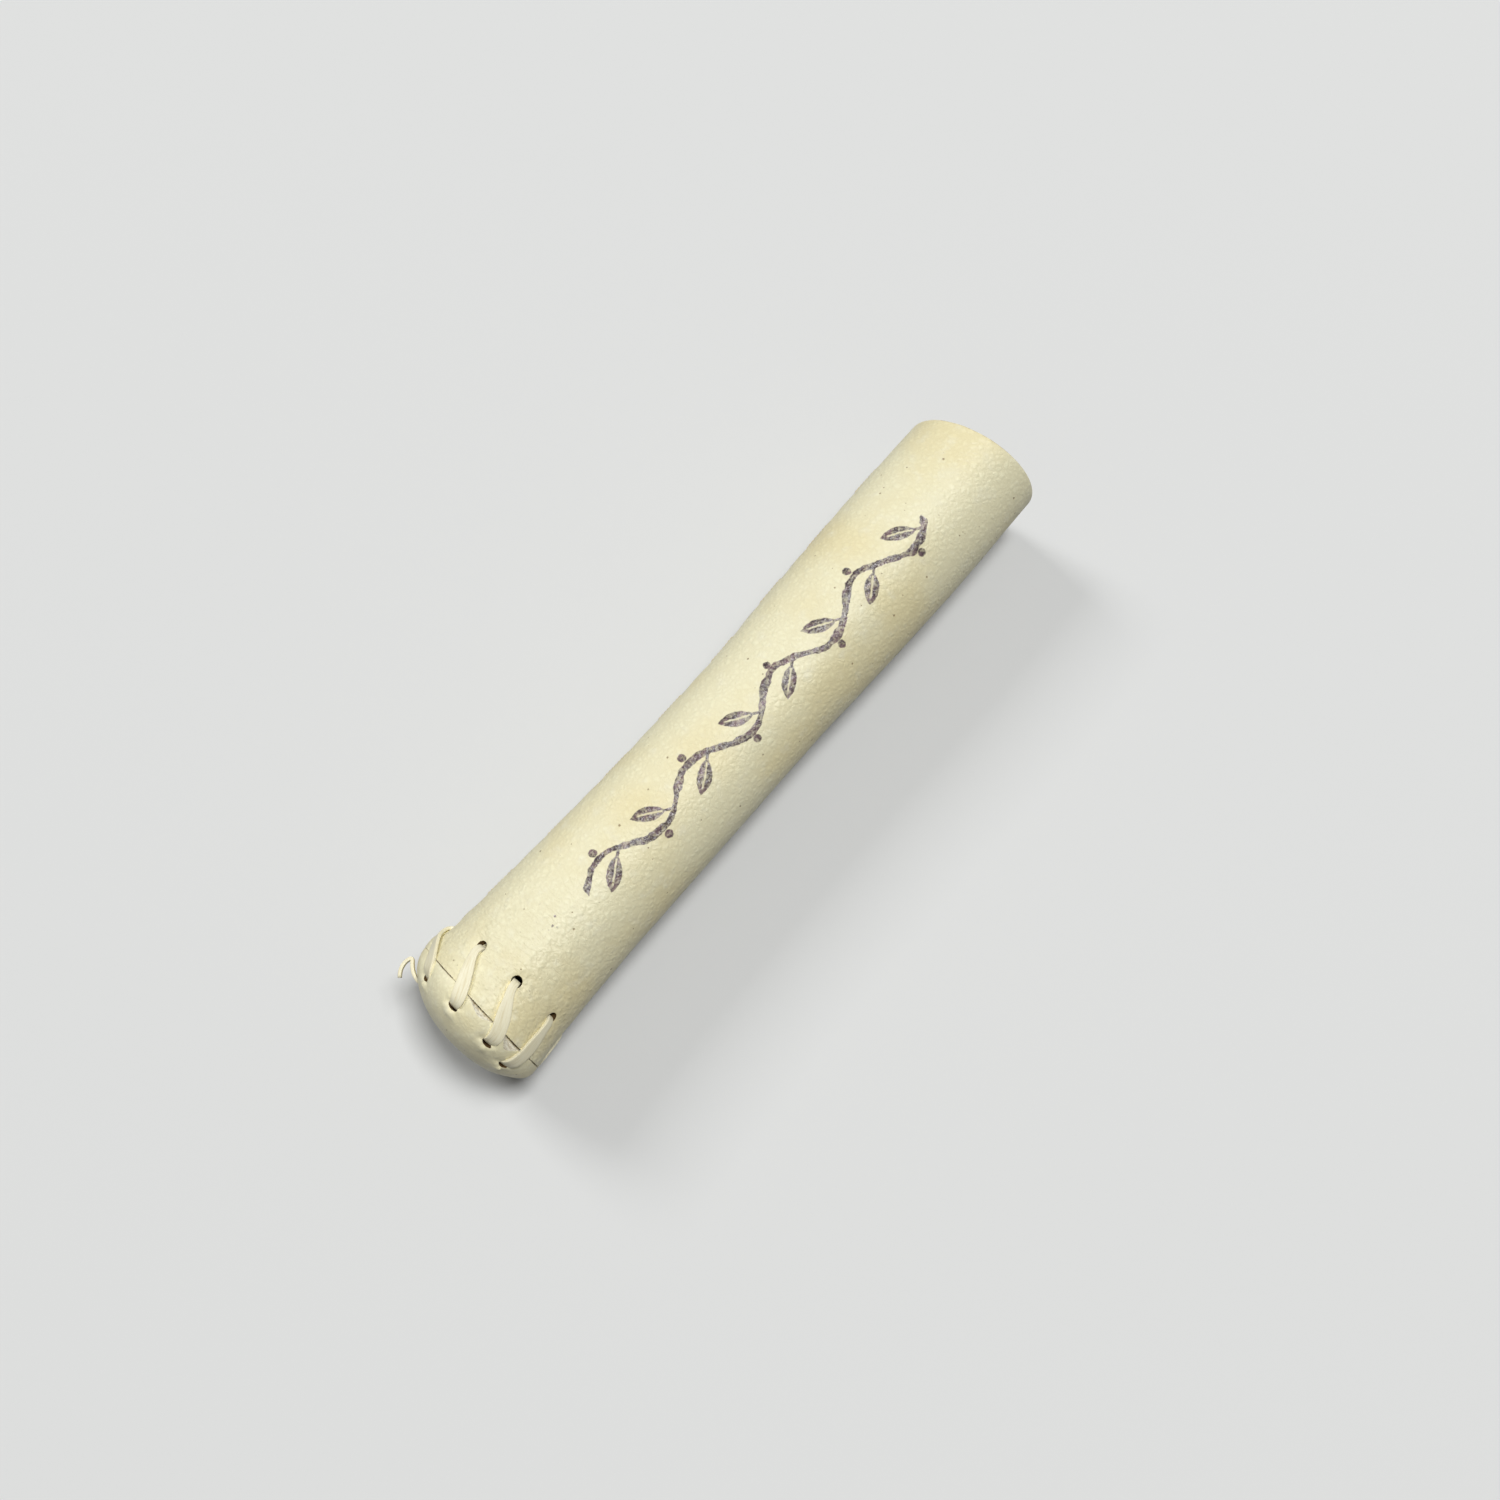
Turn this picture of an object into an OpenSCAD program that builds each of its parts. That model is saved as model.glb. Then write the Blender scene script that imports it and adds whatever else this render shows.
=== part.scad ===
// Laced leather cover for the tip of a cue, lying on its side.
// Millimetres. +X runs along the bore and out of the mouth, +Z is up, the far side is +Y.
// The origin is the centre of the narrow stretch of the bore.
// Angles round the sleeve start at the top and grow towards the near side (-Y).

/* [Sleeve] */
// Length of the sleeve from the laced joint to the mouth, along its axis
sleeve_length = 75; // [64:1:95]
// Thickness of the leather
leather = 0.9; // [0.7:0.1:1.3]
// Bore of the narrow stretch that grips the cue
grip_bore = 11.1; // [9:0.1:13]
// Length of the narrow stretch
grip_length = 12; // [8:1:18]
// Distance from the laced joint to the narrow stretch
heel_length = 30; // [22:1:34]
// How much wider the bore is at the laced joint
heel_flare = 1.6; // [1:0.1:3]
// How much wider the bore is at its widest, near the mouth
mouth_flare = 1.3; // [0.8:0.1:2.6]
// Length over which the mouth end draws in again
lip_length = 9; // [5:1:12]
// How much the bore narrows from its widest to the mouth
lip_draw = 0.1; // [0.1:0.1:0.8]
// Angle by which the mouth is cut out of square
mouth_slant = 9; // [0:0.5:12]

/* [Side seam] */
// Angle of the overlap's free edge
lap_edge = -98; // [-98:1:-92]
// Angle over which the overlap rises from the skin to its free edge
lap_span = 75; // [55:1:85]
// Height of the overlap at its thinned free edge
lap_rise = 0.4; // [0.3:0.05:0.7]
// Distance of the stitch row from the free edge
stitch_inset = 1.5; // [1.3:0.1:2.4]
// Distance between stitch holes
stitch_pitch = 4; // [3:0.5:6]
// Distance of the first stitch hole from the laced joint
stitch_heel_margin = 8; // [7.5:0.5:12]
// Distance of the last stitch hole from the mouth, at least
stitch_mouth_margin = 4; // [3:0.5:8]
// Diameter of the sewing thread
thread = 0.45; // [0.35:0.05:0.55]

/* [End cap] */
// Height of the domed cap
cap_height = 4.3; // [3.6:0.1:6]
// Squareness of the dome's shoulder, 2 for a plain ellipse
cap_shoulder = 2.3; // [2.2:0.1:3.4]
// Angle by which the laced joint is out of square
joint_slant = 5; // [0:0.5:7]

/* [Lacing] */
// Number of stitches round the joint
lace_count = 8; // [6:1:9]
// Width of the flat lace
lace_width = 1.2; // [0.9:0.1:1.4]
// Thickness of the flat lace
lace_thickness = 0.4; // [0.3:0.05:0.5]
// Room round the lace in its punched holes
lace_room = 0.3; // [0.2:0.05:0.5]
// Distance of the sleeve's lace holes from the joint
sleeve_hole_inset = 3.8; // [3:0.1:5.2]
// Distance of the cap's lace holes from the joint
cap_hole_inset = 1.95; // [1.6:0.05:2.2]
// Angle of the first stitch's hole in the sleeve
lace_start = -71; // [-74:1:-68]
// Angle that each stitch leans, from its hole in the sleeve to its hole in the cap
lace_lean = 15; // [8:1:18]
// How far the free tail stands off the cap
tail_reach = 1.9; // [1:0.1:2.5]
// How far the free tail hangs down the cap
tail_drop = 2.1; // [1:0.1:3]

/* [Hidden] */
$fn = 48;
big = 400;

// Stations along the sleeve
grip_end = heel_length + grip_length;
crest = sleeve_length - lip_length;
grip_centre = heel_length + grip_length / 2;
joint_r = grip_bore / 2 + heel_flare / 2 + leather;
end_margin = joint_r * tan(12) + 1;
heel_steps = 9;
mouth_steps = 8;
lip_steps = 4;

// The overlap is the sleeve's own outline, a little smaller and moved sideways past the skin
lap_back = lap_rise * cos(lap_span) / (1 - cos(lap_span));
lap_shift = lap_back + lap_rise;

// Lanes of the lace outside and inside the wall
lace_gap = 0.15;
lace_hole = lace_width + lace_room;
lace_lift = lace_gap + lace_thickness / 2;
turn_reach = leather / 2 + lace_lift;
lace_pinch = 0.25;
lace_step = 360 / lace_count;
tail_angle = lace_start - 9;
tail_inset = 1.3;
turn_steps = 8;
run_steps = 4;

// Lanes of the sewing thread, bedded in the leather on both sides
thread_room = 0.08;
thread_bed = 0.25;
thread_sink = 0.1;
thread_sides = 6;
thread_stub = 1.4;
groove = thread + 2 * thread_room;
groove_past = 0.11;
stitch_angle = lap_edge + stitch_inset / (grip_bore / 2 + leather) * 180 / PI;
stitch_span = sleeve_length - stitch_heel_margin - stitch_mouth_margin;
stitch_pairs = floor((floor(stitch_span / stitch_pitch) + 1) / 2);
stitch_count = 2 * stitch_pairs;

// Direction out of the axis at an angle, and along the skin at that angle
function out_at(a) = [-cos(a), -sin(a), 0];
function round_at(a) = [sin(a), -cos(a), 0];
function wrapped(a) = a - 360 * floor((a + 180) / 360);
function unit(v) = v / norm(v);

// Radius of the bore and of the skin along the sleeve, measured from the joint
function heel_part(z) = z < heel_length ? heel_flare / 2 * pow((heel_length - z) / heel_length, 2) : 0;
function mouth_part(z) = z > grip_end
    ? mouth_flare / 2 * sin(90 * min(1, (z - grip_end) / (crest - grip_end))) : 0;
function lip_part(z) = z > crest ? lip_draw / 2 * pow((z - crest) / lip_length, 2) : 0;
function bore_r(z) = grip_bore / 2 + heel_part(z) + mouth_part(z) - lip_part(z);
function skin_r(z) = bore_r(z) + leather;

// Radius of the overlap's outside at an angle, where the skin below it has radius r
function lap_past(r, s) = lap_shift * cos(s) + sqrt(pow(r - lap_back, 2) - pow(lap_shift * sin(s), 2));
function over_r(r, a) = let (s = wrapped(a) - lap_edge) s >= 0 && s <= 90 ? max(r, lap_past(r, s)) : r;

stations = concat(
    [for (i = [0 : heel_steps]) -end_margin + (heel_length + end_margin) * i / heel_steps],
    [for (i = [0 : mouth_steps]) grip_end + (crest - grip_end) * i / mouth_steps],
    [for (i = [1 : lip_steps]) crest + (lip_length + end_margin) * i / lip_steps]
);

// Outline of the cap, outside and inside, from the joint down to the middle of the dome
cap_inner_r = joint_r - leather;
cap_inner_height = cap_height - leather;
cap_steps = 12;
function dome_r(d, r, h) = r * pow(1 - pow(d / h, cap_shoulder), 1 / cap_shoulder);
function dome_line(r, h) = [for (i = [0 : cap_steps])
    let (a = 90 * i / cap_steps)
    [r * pow(cos(a), 2 / cap_shoulder), -h * pow(sin(a), 2 / cap_shoulder)]];
function reversed(list) = [for (i = [len(list) - 1 : -1 : 0]) list[i]];

// The joint is out of square, so it lies at another height all round
function joint_z(a) = -tan(joint_slant) * sin(a) * joint_r;
function tilted(p) = [
    p.x,
    p.y * cos(joint_slant) - p.z * sin(joint_slant),
    p.y * sin(joint_slant) + p.z * cos(joint_slant)
];

// A point of the lace: d past the joint (negative on the cap), side 1 outside the wall and -1 inside it
function lace_outer(d, a) = d >= 0
    ? over_r(skin_r(joint_z(a) + d), a) + lace_lift
    : dome_r(-d, joint_r, cap_height) + lace_lift;
function lace_inner(d, a) = d >= 0
    ? bore_r(joint_z(a) + d) - lace_lift
    : dome_r(-d, cap_inner_r, cap_inner_height) - lace_lift;
function lace_r(d, a, side) = lace_outer(d, a) * (1 + side) / 2 + lace_inner(d, a) * (1 - side) / 2;
function lace_at(d, a, side) = d >= 0
    ? lace_r(d, a, side) * out_at(a) + [0, 0, joint_z(a) + d]
    : tilted(lace_r(d, a, side) * out_at(a) + [0, 0, d]);

// Every mark of the lace is a point, its angle round the sleeve and its share of the full width
function lace_angle(i) = lace_start + lace_step * i;
function mark(d, a, side, share) = [lace_at(d, a, side), a, share];
function pinched(t) = 1 - lace_pinch * cos(t);
top_turn = sleeve_hole_inset - turn_reach;
low_turn = turn_reach - cap_hole_inset;

// Up through a hole in the sleeve, over the joint, down through a hole in the cap, on to the next stitch
function turn_up(i) = [for (j = [0 : turn_steps])
    let (t = -90 + 180 * j / turn_steps)
    mark(top_turn + turn_reach * cos(t), lace_angle(i), sin(t), pinched(t))];
function turn_down(i) = [for (j = [0 : turn_steps])
    let (t = 90 - 180 * j / turn_steps)
    mark(low_turn - turn_reach * cos(t), lace_angle(i) + lace_lean, sin(t), pinched(t))];
function lean_at(i, d) = lace_angle(i) + lace_lean * (top_turn - d) / (top_turn - low_turn);
function outside_run(i) = concat(
    [for (j = [1 : run_steps]) let (d = top_turn * (1 - j / run_steps)) mark(d, lean_at(i, d), 1, 1)],
    [for (j = [1, 2]) let (d = low_turn * j / 3) mark(d, lean_at(i, d), 1, 1)]
);
function inside_run(from, to, low) = [for (j = [1 : run_steps])
    let (u = j / (run_steps + 1))
    mark(low + (top_turn - low) * u, from + (to - from) * u, -1, 1)];

// The free tail curls away from its own hole in the cap, and the other end is tucked inside
tail_r = (lace_outer(-tail_inset, tail_angle) + lace_inner(-tail_inset, tail_angle)) / 2;
function tail_mark(t) = [
    tilted((tail_r + (tail_reach + leather / 2) * sin(t)) * out_at(tail_angle)
        + [0, 0, -tail_inset - tail_drop * (1 - cos(t))]),
    tail_angle, 0.5 + 0.25 * cos(t)];
tail_out = [for (j = [0 : turn_steps - 1]) tail_mark(90 * (1 - j / turn_steps))];
tail_in = [for (j = [0 : 4])
    let (t = -90 * j / 4)
    mark(-tail_inset + turn_reach * (1 - cos(t)), tail_angle, sin(t), pinched(t))];
tuck = [for (j = [1 : 3])
    let (u = j / 3)
    mark(low_turn + (top_turn * 0.45 - low_turn) * u,
        lace_angle(lace_count - 1) + lace_lean - 2 * u, -1, 1)];
function stitch(i) = concat(turn_up(i), outside_run(i), turn_down(i));
lace_marks = concat(
    tail_out,
    tail_in,
    inside_run(tail_angle, lace_angle(0), turn_reach - tail_inset),
    [for (i = [0 : lace_count - 2])
        each concat(stitch(i), inside_run(lace_angle(i) + lace_lean, lace_angle(i + 1), low_turn))],
    stitch(lace_count - 1),
    tuck
);

// A swept strand: rings of points round a line, closed at both ends
function heading(list, i) = unit(list[min(i + 1, len(list) - 1)] - list[max(i - 1, 0)]);
function across(v, t) = unit(v - (v * t) * t);
lace_line = [for (m = lace_marks) m[0]];
lace_points = [for (i = [0 : len(lace_marks) - 1])
    let (t = heading(lace_line, i))
    let (s = across(round_at(lace_marks[i][1]), t) * lace_width * lace_marks[i][2] / 2)
    let (n = cross(t, unit(s)) * lace_thickness / 2)
    each [lace_line[i] + s + n, lace_line[i] - s + n, lace_line[i] - s - n, lace_line[i] + s - n]];

// The thread runs along one line of holes, over the overlap and back inside the bore by turns
function stitch_z(k) = stitch_heel_margin + stitch_pitch * k;
function thread_out(z) = over_r(skin_r(z), stitch_angle) - thread_sink;
function thread_in(z) = bore_r(z) + thread_bed;
function thread_at(z, out) = (out ? thread_out(z) : thread_in(z)) * out_at(stitch_angle) + [0, 0, z];
function thread_mid(z, u) = (thread_in(z) * (1 - u) + thread_out(z) * u) * out_at(stitch_angle) + [0, 0, z];
thread_slip = 0.3;
function thread_pass(k) = let (z = stitch_z(k), up = k % 2 == 0) [
    thread_at(z - thread_slip, !up),
    thread_mid(z - thread_slip * 0.4, up ? 0.15 : 0.85),
    thread_mid(z, 0.5),
    thread_mid(z + thread_slip * 0.4, up ? 0.85 : 0.15),
    thread_at(z + thread_slip, up),
    thread_at(z + (k == stitch_count - 1 ? thread_stub : stitch_pitch / 2), up)
];
thread_line = concat(
    [thread_at(stitch_z(0) - thread_stub, false)],
    [for (k = [0 : stitch_count - 1]) each thread_pass(k)]
);
thread_points = [for (i = [0 : len(thread_line) - 1])
    let (t = heading(thread_line, i))
    let (s = across(round_at(stitch_angle), t) * thread / 2)
    let (n = cross(t, unit(s)) * thread / 2)
    each [for (j = [0 : thread_sides - 1])
        let (a = 360 * j / thread_sides)
        thread_line[i] + s * cos(a) + n * sin(a)]];

function strand_faces(rings, sides) = concat(
    [for (j = [1 : sides - 2]) [0, j + 1, j]],
    [for (i = [0 : rings - 2], j = [0 : sides - 1])
        let (a = i * sides + j, b = i * sides + (j + 1) % sides)
        each [[a, b, b + sides], [a, b + sides, a + sides]]],
    [for (j = [1 : sides - 2]) let (e = (rings - 1) * sides) [e, e + j, e + j + 1]]
);

// From the joint's frame, with the axis upright, to the lying part
module laid_down() {
    translate([-grip_centre, 0, 0]) rotate([0, 90, 0]) children();
}

// Solid of the sleeve's outline, the given distance outside the bore
module turned(outside) {
    rotate_extrude()
        polygon(concat(
            [[0, stations[0]]],
            [for (z = stations) [bore_r(z) + outside, z]],
            [[0, stations[len(stations) - 1]]]
        ));
}

module beyond_joint() {
    rotate([joint_slant, 0, 0]) translate([0, 0, -big / 2]) cube(big, center = true);
}

module beyond_mouth() {
    translate([0, 0, sleeve_length]) rotate([-mouth_slant, 0, 0])
        translate([0, 0, big / 2]) cube(big, center = true);
}

// Round hole out through one side of the wall
module wall_hole(a, z, d) {
    rotate([0, 0, 180 + a]) translate([joint_r * 0.6, 0, z]) rotate([0, 90, 0]) cylinder(d = d, h = joint_r);
}

module overlap() {
    intersection() {
        translate(lap_shift * out_at(lap_edge)) turned(leather - lap_back);
        rotate([0, 0, 180 + lap_edge]) translate([-big / 2, 0, -big / 2]) cube(big);
    }
}

// Square groove that beds one run of thread, between two heights
module thread_groove(z0, r0, z1, r1) {
    rotate([0, 0, 180 + stitch_angle]) translate([r0, 0, z0]) rotate([0, atan2(r1 - r0, z1 - z0), 0])
        translate([-groove / 2, -groove / 2, -groove_past])
            cube([groove, groove, norm([r1 - r0, z1 - z0]) + 2 * groove_past]);
}

module thread_grooves() {
    for (k = [0 : stitch_count - 2]) {
        z0 = stitch_z(k);
        z1 = stitch_z(k + 1);
        if (k % 2 == 0) {
            thread_groove(z0, thread_out(z0), z1, thread_out(z1));
        } else {
            thread_groove(z0, thread_in(z0) - 0.03, z1, thread_in(z1) - 0.03);
        }
    }
    first = stitch_z(0);
    last = stitch_z(stitch_count - 1);
    stub = thread_stub + 0.2;
    thread_groove(first - stub, thread_in(first - stub) - 0.03, first, thread_in(first) - 0.03);
    thread_groove(last, thread_in(last) - 0.03, last + stub, thread_in(last + stub) - 0.03);
}

module sleeve() {
    color("#EDE2B6") laid_down() difference() {
        union() {
            turned(leather);
            overlap();
        }
        turned(0);
        beyond_joint();
        beyond_mouth();
        for (i = [0 : lace_count - 1]) {
            wall_hole(lace_angle(i), joint_z(lace_angle(i)) + sleeve_hole_inset, lace_hole);
        }
        for (k = [0 : stitch_count - 1]) {
            wall_hole(stitch_angle, stitch_z(k), thread + 4 * thread_room);
        }
        thread_grooves();
    }
}

module end_cap() {
    color("#EFE5BE") laid_down() rotate([joint_slant, 0, 0]) difference() {
        rotate_extrude()
            polygon(concat(
                dome_line(joint_r, cap_height),
                reversed(dome_line(cap_inner_r, cap_inner_height))
            ));
        for (i = [0 : lace_count - 1]) {
            wall_hole(lace_angle(i) + lace_lean, -cap_hole_inset, lace_hole);
        }
        wall_hole(tail_angle, -tail_inset, lace_hole);
    }
}

module end_lace() {
    color("#F4ECCB") laid_down()
        polyhedron(points = lace_points, faces = strand_faces(len(lace_marks), 4));
}

module seam_thread() {
    color("#E6D9AE") laid_down()
        polyhedron(points = thread_points, faces = strand_faces(len(thread_line), thread_sides));
}

sleeve();
end_cap();
end_lace();
seam_thread();
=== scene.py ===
import bisect
import math
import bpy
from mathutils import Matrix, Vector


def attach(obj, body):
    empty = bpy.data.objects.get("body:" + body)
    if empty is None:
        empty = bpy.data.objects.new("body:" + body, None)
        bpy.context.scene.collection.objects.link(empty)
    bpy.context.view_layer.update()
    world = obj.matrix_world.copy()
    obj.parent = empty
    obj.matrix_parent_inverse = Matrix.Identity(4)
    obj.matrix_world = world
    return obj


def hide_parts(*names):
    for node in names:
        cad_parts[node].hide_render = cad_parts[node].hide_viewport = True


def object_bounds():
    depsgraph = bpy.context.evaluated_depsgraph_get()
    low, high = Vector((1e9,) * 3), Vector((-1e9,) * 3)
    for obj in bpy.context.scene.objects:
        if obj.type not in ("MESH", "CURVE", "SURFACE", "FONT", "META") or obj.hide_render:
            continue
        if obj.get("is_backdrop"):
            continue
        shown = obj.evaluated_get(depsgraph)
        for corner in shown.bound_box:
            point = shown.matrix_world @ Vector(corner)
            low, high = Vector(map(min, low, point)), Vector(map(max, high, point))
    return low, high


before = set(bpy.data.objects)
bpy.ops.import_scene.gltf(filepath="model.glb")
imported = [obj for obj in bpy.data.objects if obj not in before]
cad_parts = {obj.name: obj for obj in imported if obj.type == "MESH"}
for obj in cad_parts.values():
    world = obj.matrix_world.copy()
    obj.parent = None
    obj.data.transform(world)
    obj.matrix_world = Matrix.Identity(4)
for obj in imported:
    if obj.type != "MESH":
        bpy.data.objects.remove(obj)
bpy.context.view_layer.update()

from types import SimpleNamespace

import bmesh
import bpy
from mathutils import Matrix, Vector, noise

bl_info = {
    "name": "Laced cue tip cover",
    "version": (1, 0, 0),
    "blender": (4, 5, 0),
    "location": "View3D > Sidebar > Cover",
    "description": "Builds a hand-laced leather cover for the tip of a cue, and a studio to show it in",
    "category": "Add Mesh",
}

MM = 0.001
TURN = 2 * math.pi
QUARTER = math.pi / 2
BODY = "root"
UV_MAP = "cut"
UV_SPAN = 100.0
UV_START = (0.05, 0.8)
CUT_EDGE = 0.4


# Settings that a user would change

def length(label, text, size):
    """A length property whose default is given in millimetres."""
    return bpy.props.FloatProperty(
        name=label, description=text, default=size * MM, min=0.0, unit="LENGTH", precision=5
    )


def angle(label, text, degrees):
    """An angle property whose default is given in degrees."""
    return bpy.props.FloatProperty(
        name=label, description=text, default=math.radians(degrees), subtype="ANGLE"
    )


def share(label, text, default):
    """A property from 0 to 1."""
    return bpy.props.FloatProperty(
        name=label, description=text, default=default, min=0.0, max=1.0, subtype="FACTOR"
    )


def number(label, text, default):
    """A plain number."""
    return bpy.props.FloatProperty(name=label, description=text, default=default)


def linear(level):
    """A colour level of 0 to 255 as scene light."""
    level /= 255
    return level / 12.92 if level <= 0.04045 else ((level + 0.055) / 1.055) ** 2.4


def colour(label, text, red, green, blue):
    """A colour property whose default is given in levels of 0 to 255."""
    return bpy.props.FloatVectorProperty(
        name=label, description=text, subtype="COLOR", size=4, min=0.0, max=1.0,
        default=(linear(red), linear(green), linear(blue), 1.0),
    )


class CoverSleeveSizes(bpy.types.PropertyGroup):
    """Sizes of the rolled sleeve."""

    length: length("Length", "Length of the sleeve from the laced joint to the mouth", 75)
    leather: length("Leather", "Thickness of the leather", 0.9)
    grip_bore: length("Grip bore", "Bore of the narrow stretch that grips the cue", 11.1)
    grip_length: length("Grip length", "Length of the narrow stretch", 12)
    heel_length: length("Heel length", "Distance from the laced joint to the narrow stretch", 30)
    heel_flare: length("Heel flare", "How much wider the bore is at the laced joint", 1.6)
    mouth_flare: length("Mouth flare", "How much wider the bore is at its widest near the mouth", 1.28)
    lip_length: length("Lip length", "Length over which the mouth end draws in again", 9)
    lip_draw: length("Lip draw", "How much the bore narrows from its widest to the mouth", 0.08)
    mouth_slant: angle("Mouth slant", "Angle by which the mouth is cut out of square", 9)
    joint_slant: angle("Joint slant", "Angle by which the laced joint is out of square", 5)
    bow: length("Bow", "How far the middle of the sleeve bends to the near side", 0.37)


class CoverSeamSizes(bpy.types.PropertyGroup):
    """Sizes of the overlap and its sewing."""

    lap_edge: angle("Lap edge", "Angle of the overlap's free edge, from the top to the near side", -98)
    lap_span: angle("Lap span", "Angle over which the overlap rises to its free edge", 75)
    under_span: angle("Under span", "Angle that the thinned under edge reaches below the overlap", 84)
    lap_rise: length("Lap rise", "Height of the overlap at its thinned free edge", 0.38)
    feather: length("Feather", "Thickness that is left at the thinned under edge", 0.12)
    stitch_inset: length("Stitch inset", "Distance of the stitch row from the free edge", 1.5)
    stitch_pitch: length("Stitch pitch", "Distance between stitch holes", 4)
    heel_margin: length("Heel margin", "Distance of the first stitch hole from the joint", 8)
    mouth_margin: length("Mouth margin", "Distance of the last stitch hole from the mouth", 4)
    thread: length("Thread", "Diameter of the sewing thread", 0.45)
    thread_sink: length("Thread sink", "Depth of the thread's middle below the skin", 0.1)
    thread_bed: length("Thread bed", "Depth of the thread's middle inside the bore's wall", 0.25)


class CoverCapSizes(bpy.types.PropertyGroup):
    """Sizes of the moulded end cap."""

    height: length("Height", "Height of the domed cap", 4.3)
    shoulder: number("Shoulder", "Squareness of the dome's shoulder, 2 for a plain ellipse", 2.25)
    pucker: length("Pucker", "Height of the gathers near the rim", 0.1)
    rim_cut: length("Rim cut", "How far the rim's raw edge slopes at most", 1.05)


class CoverLaceSizes(bpy.types.PropertyGroup):
    """Sizes of the lace and its holes."""

    count: bpy.props.IntProperty(
        name="Stitches", description="Number of stitches round the joint", default=8, min=3
    )
    width: length("Width", "Width of the flat lace", 1.28)
    thickness: length("Thickness", "Thickness of the flat lace", 0.36)
    room: length("Room", "Room round the lace in its punched holes", 0.1)
    sleeve_inset: length("Sleeve inset", "Distance of the sleeve's holes from the joint", 3.8)
    cap_inset: length("Cap inset", "Distance of the cap's holes from the joint", 1.6)
    start: angle("Start", "Angle of the first stitch's hole in the sleeve", -71)
    lean: angle("Lean", "Angle that each stitch leans on its way to the cap", 15)
    pinch: share("Pinch", "Share of its width that the lace loses in a hole", 0.2)
    taper: share("Taper", "Share of its width that the lace has where it leaves the sleeve", 0.66)
    spread: number("Spread", "Share of its width that the lace has over the joint", 1.14)
    tail_back: angle("Tail back", "Angle of the tail's hole before the first stitch", 13)
    tail_inset: length("Tail inset", "Distance of the tail's hole from the joint", 2.6)
    tail_reach: length("Tail reach", "How far the free tail stands off the joint", 1.2)
    tail_drop: length("Tail drop", "How far the free tail hangs back from its bend", 2.0)


class CoverVineSizes(bpy.types.PropertyGroup):
    """Sizes of the inked vine."""

    middle: angle("Middle", "Angle of the vine's middle line, from the top to the near side", 9)
    place: length("Place", "Distance of the vine's middle from the joint", 39)
    span: length("Span", "Length of the vine", 50)
    half_wave: length("Half wave", "Distance from one leaf to the next", 6.25)
    swing: length("Swing", "How far the stem swings to each side", 1.25)
    stem_thin: length("Stem, thin", "Half the width of the stem where it is thinnest", 0.24)
    stem_thick: length("Stem, thick", "Half the width of the stem where it is thickest", 0.5)
    leaf_length: length("Leaf length", "Length of a leaf", 3.5)
    leaf_width: length("Leaf width", "Width of a leaf", 1.44)
    leaf_tilt: angle("Leaf tilt", "Angle of a leaf to the vine", 32)
    leaf_drop: length("Leaf drop", "Distance of a leaf's middle from the crest of the stem", 2.0)
    berry: length("Berry", "Diameter of a berry", 0.84)
    berry_rise: length("Berry rise", "Distance of a berry's middle past the crest of the stem", 0.78)


class CoverFinishes(bpy.types.PropertyGroup):
    """Colours of the leather, lace, thread and ink."""

    hide: colour("Hide", "Smooth outside of the leather", 245, 240, 204)
    hide_warm: colour("Hide, warm", "Yellower clouds in the leather", 241, 231, 186)
    hide_pale: colour("Hide, pale", "Paler clouds in the leather", 248, 245, 218)
    # Painted shade: the grooves of the grain and the lacing's creases are painted darker.
    hide_groove: colour("Hide, grooves", "Bottom of the grain", 188, 166, 114)
    pore: colour("Pores", "Small brown pores in the leather", 132, 104, 62)
    suede: colour("Suede", "Inside of the leather", 214, 194, 146)
    # Painted shade: the hollows between the suede's fibres are painted darker; clouds also darken it at
    # random.
    suede_gap_shade: colour("Suede, dark", "Hollows between the fibres inside", 172, 148, 102)
    edge: colour("Sleeve edge", "Cut edge of the sleeve", 238, 227, 192)
    # Painted shade: the gaps between the fibres of the sleeve's edge are painted darker; clouds also
    # darken it at random.
    edge_gap_shade: colour("Sleeve edge, dark", "Gaps between the fibres of the sleeve's edge", 204, 185, 142)
    raw: colour("Raw edge", "Frayed cut edge of the cap", 246, 242, 222)
    # Painted shade: the cap's raw edge is painted greyer further below the joint, down its slope.
    raw_slope_shade: colour("Raw edge, grey", "Shaded part of the cap's cut edge", 206, 198, 172)
    # Painted shade: the gaps between the fibres of the cap's edge are painted darker.
    raw_gap_shade: colour("Raw edge, dark", "Gaps between the fibres of the cap's edge", 176, 160, 126)
    # Painted shade: the walls of the punched holes are painted dark brown for the shade inside the holes,
    # darker still in the gaps between their fibres.
    hole: colour("Hole", "Walls of the punched holes", 112, 88, 54)
    hole_gap_shade: colour("Hole, dark", "Gaps between the fibres in the holes", 58, 43, 24)
    lace: colour("Lace", "Smooth face of the lace", 247, 241, 211)
    lace_dark: colour("Lace, dark", "Fine lines along the lace", 229, 217, 175)
    thread: colour("Thread", "Waxed sewing thread", 232, 219, 178)
    thread_dark: colour("Thread, dark", "Between the plies of the thread", 186, 164, 116)
    ink: colour("Ink", "Brush ornament along the top", 58, 40, 46)
    ink_thin: colour("Ink, thin", "Ornament where the ink ran dry", 116, 90, 96)


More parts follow.
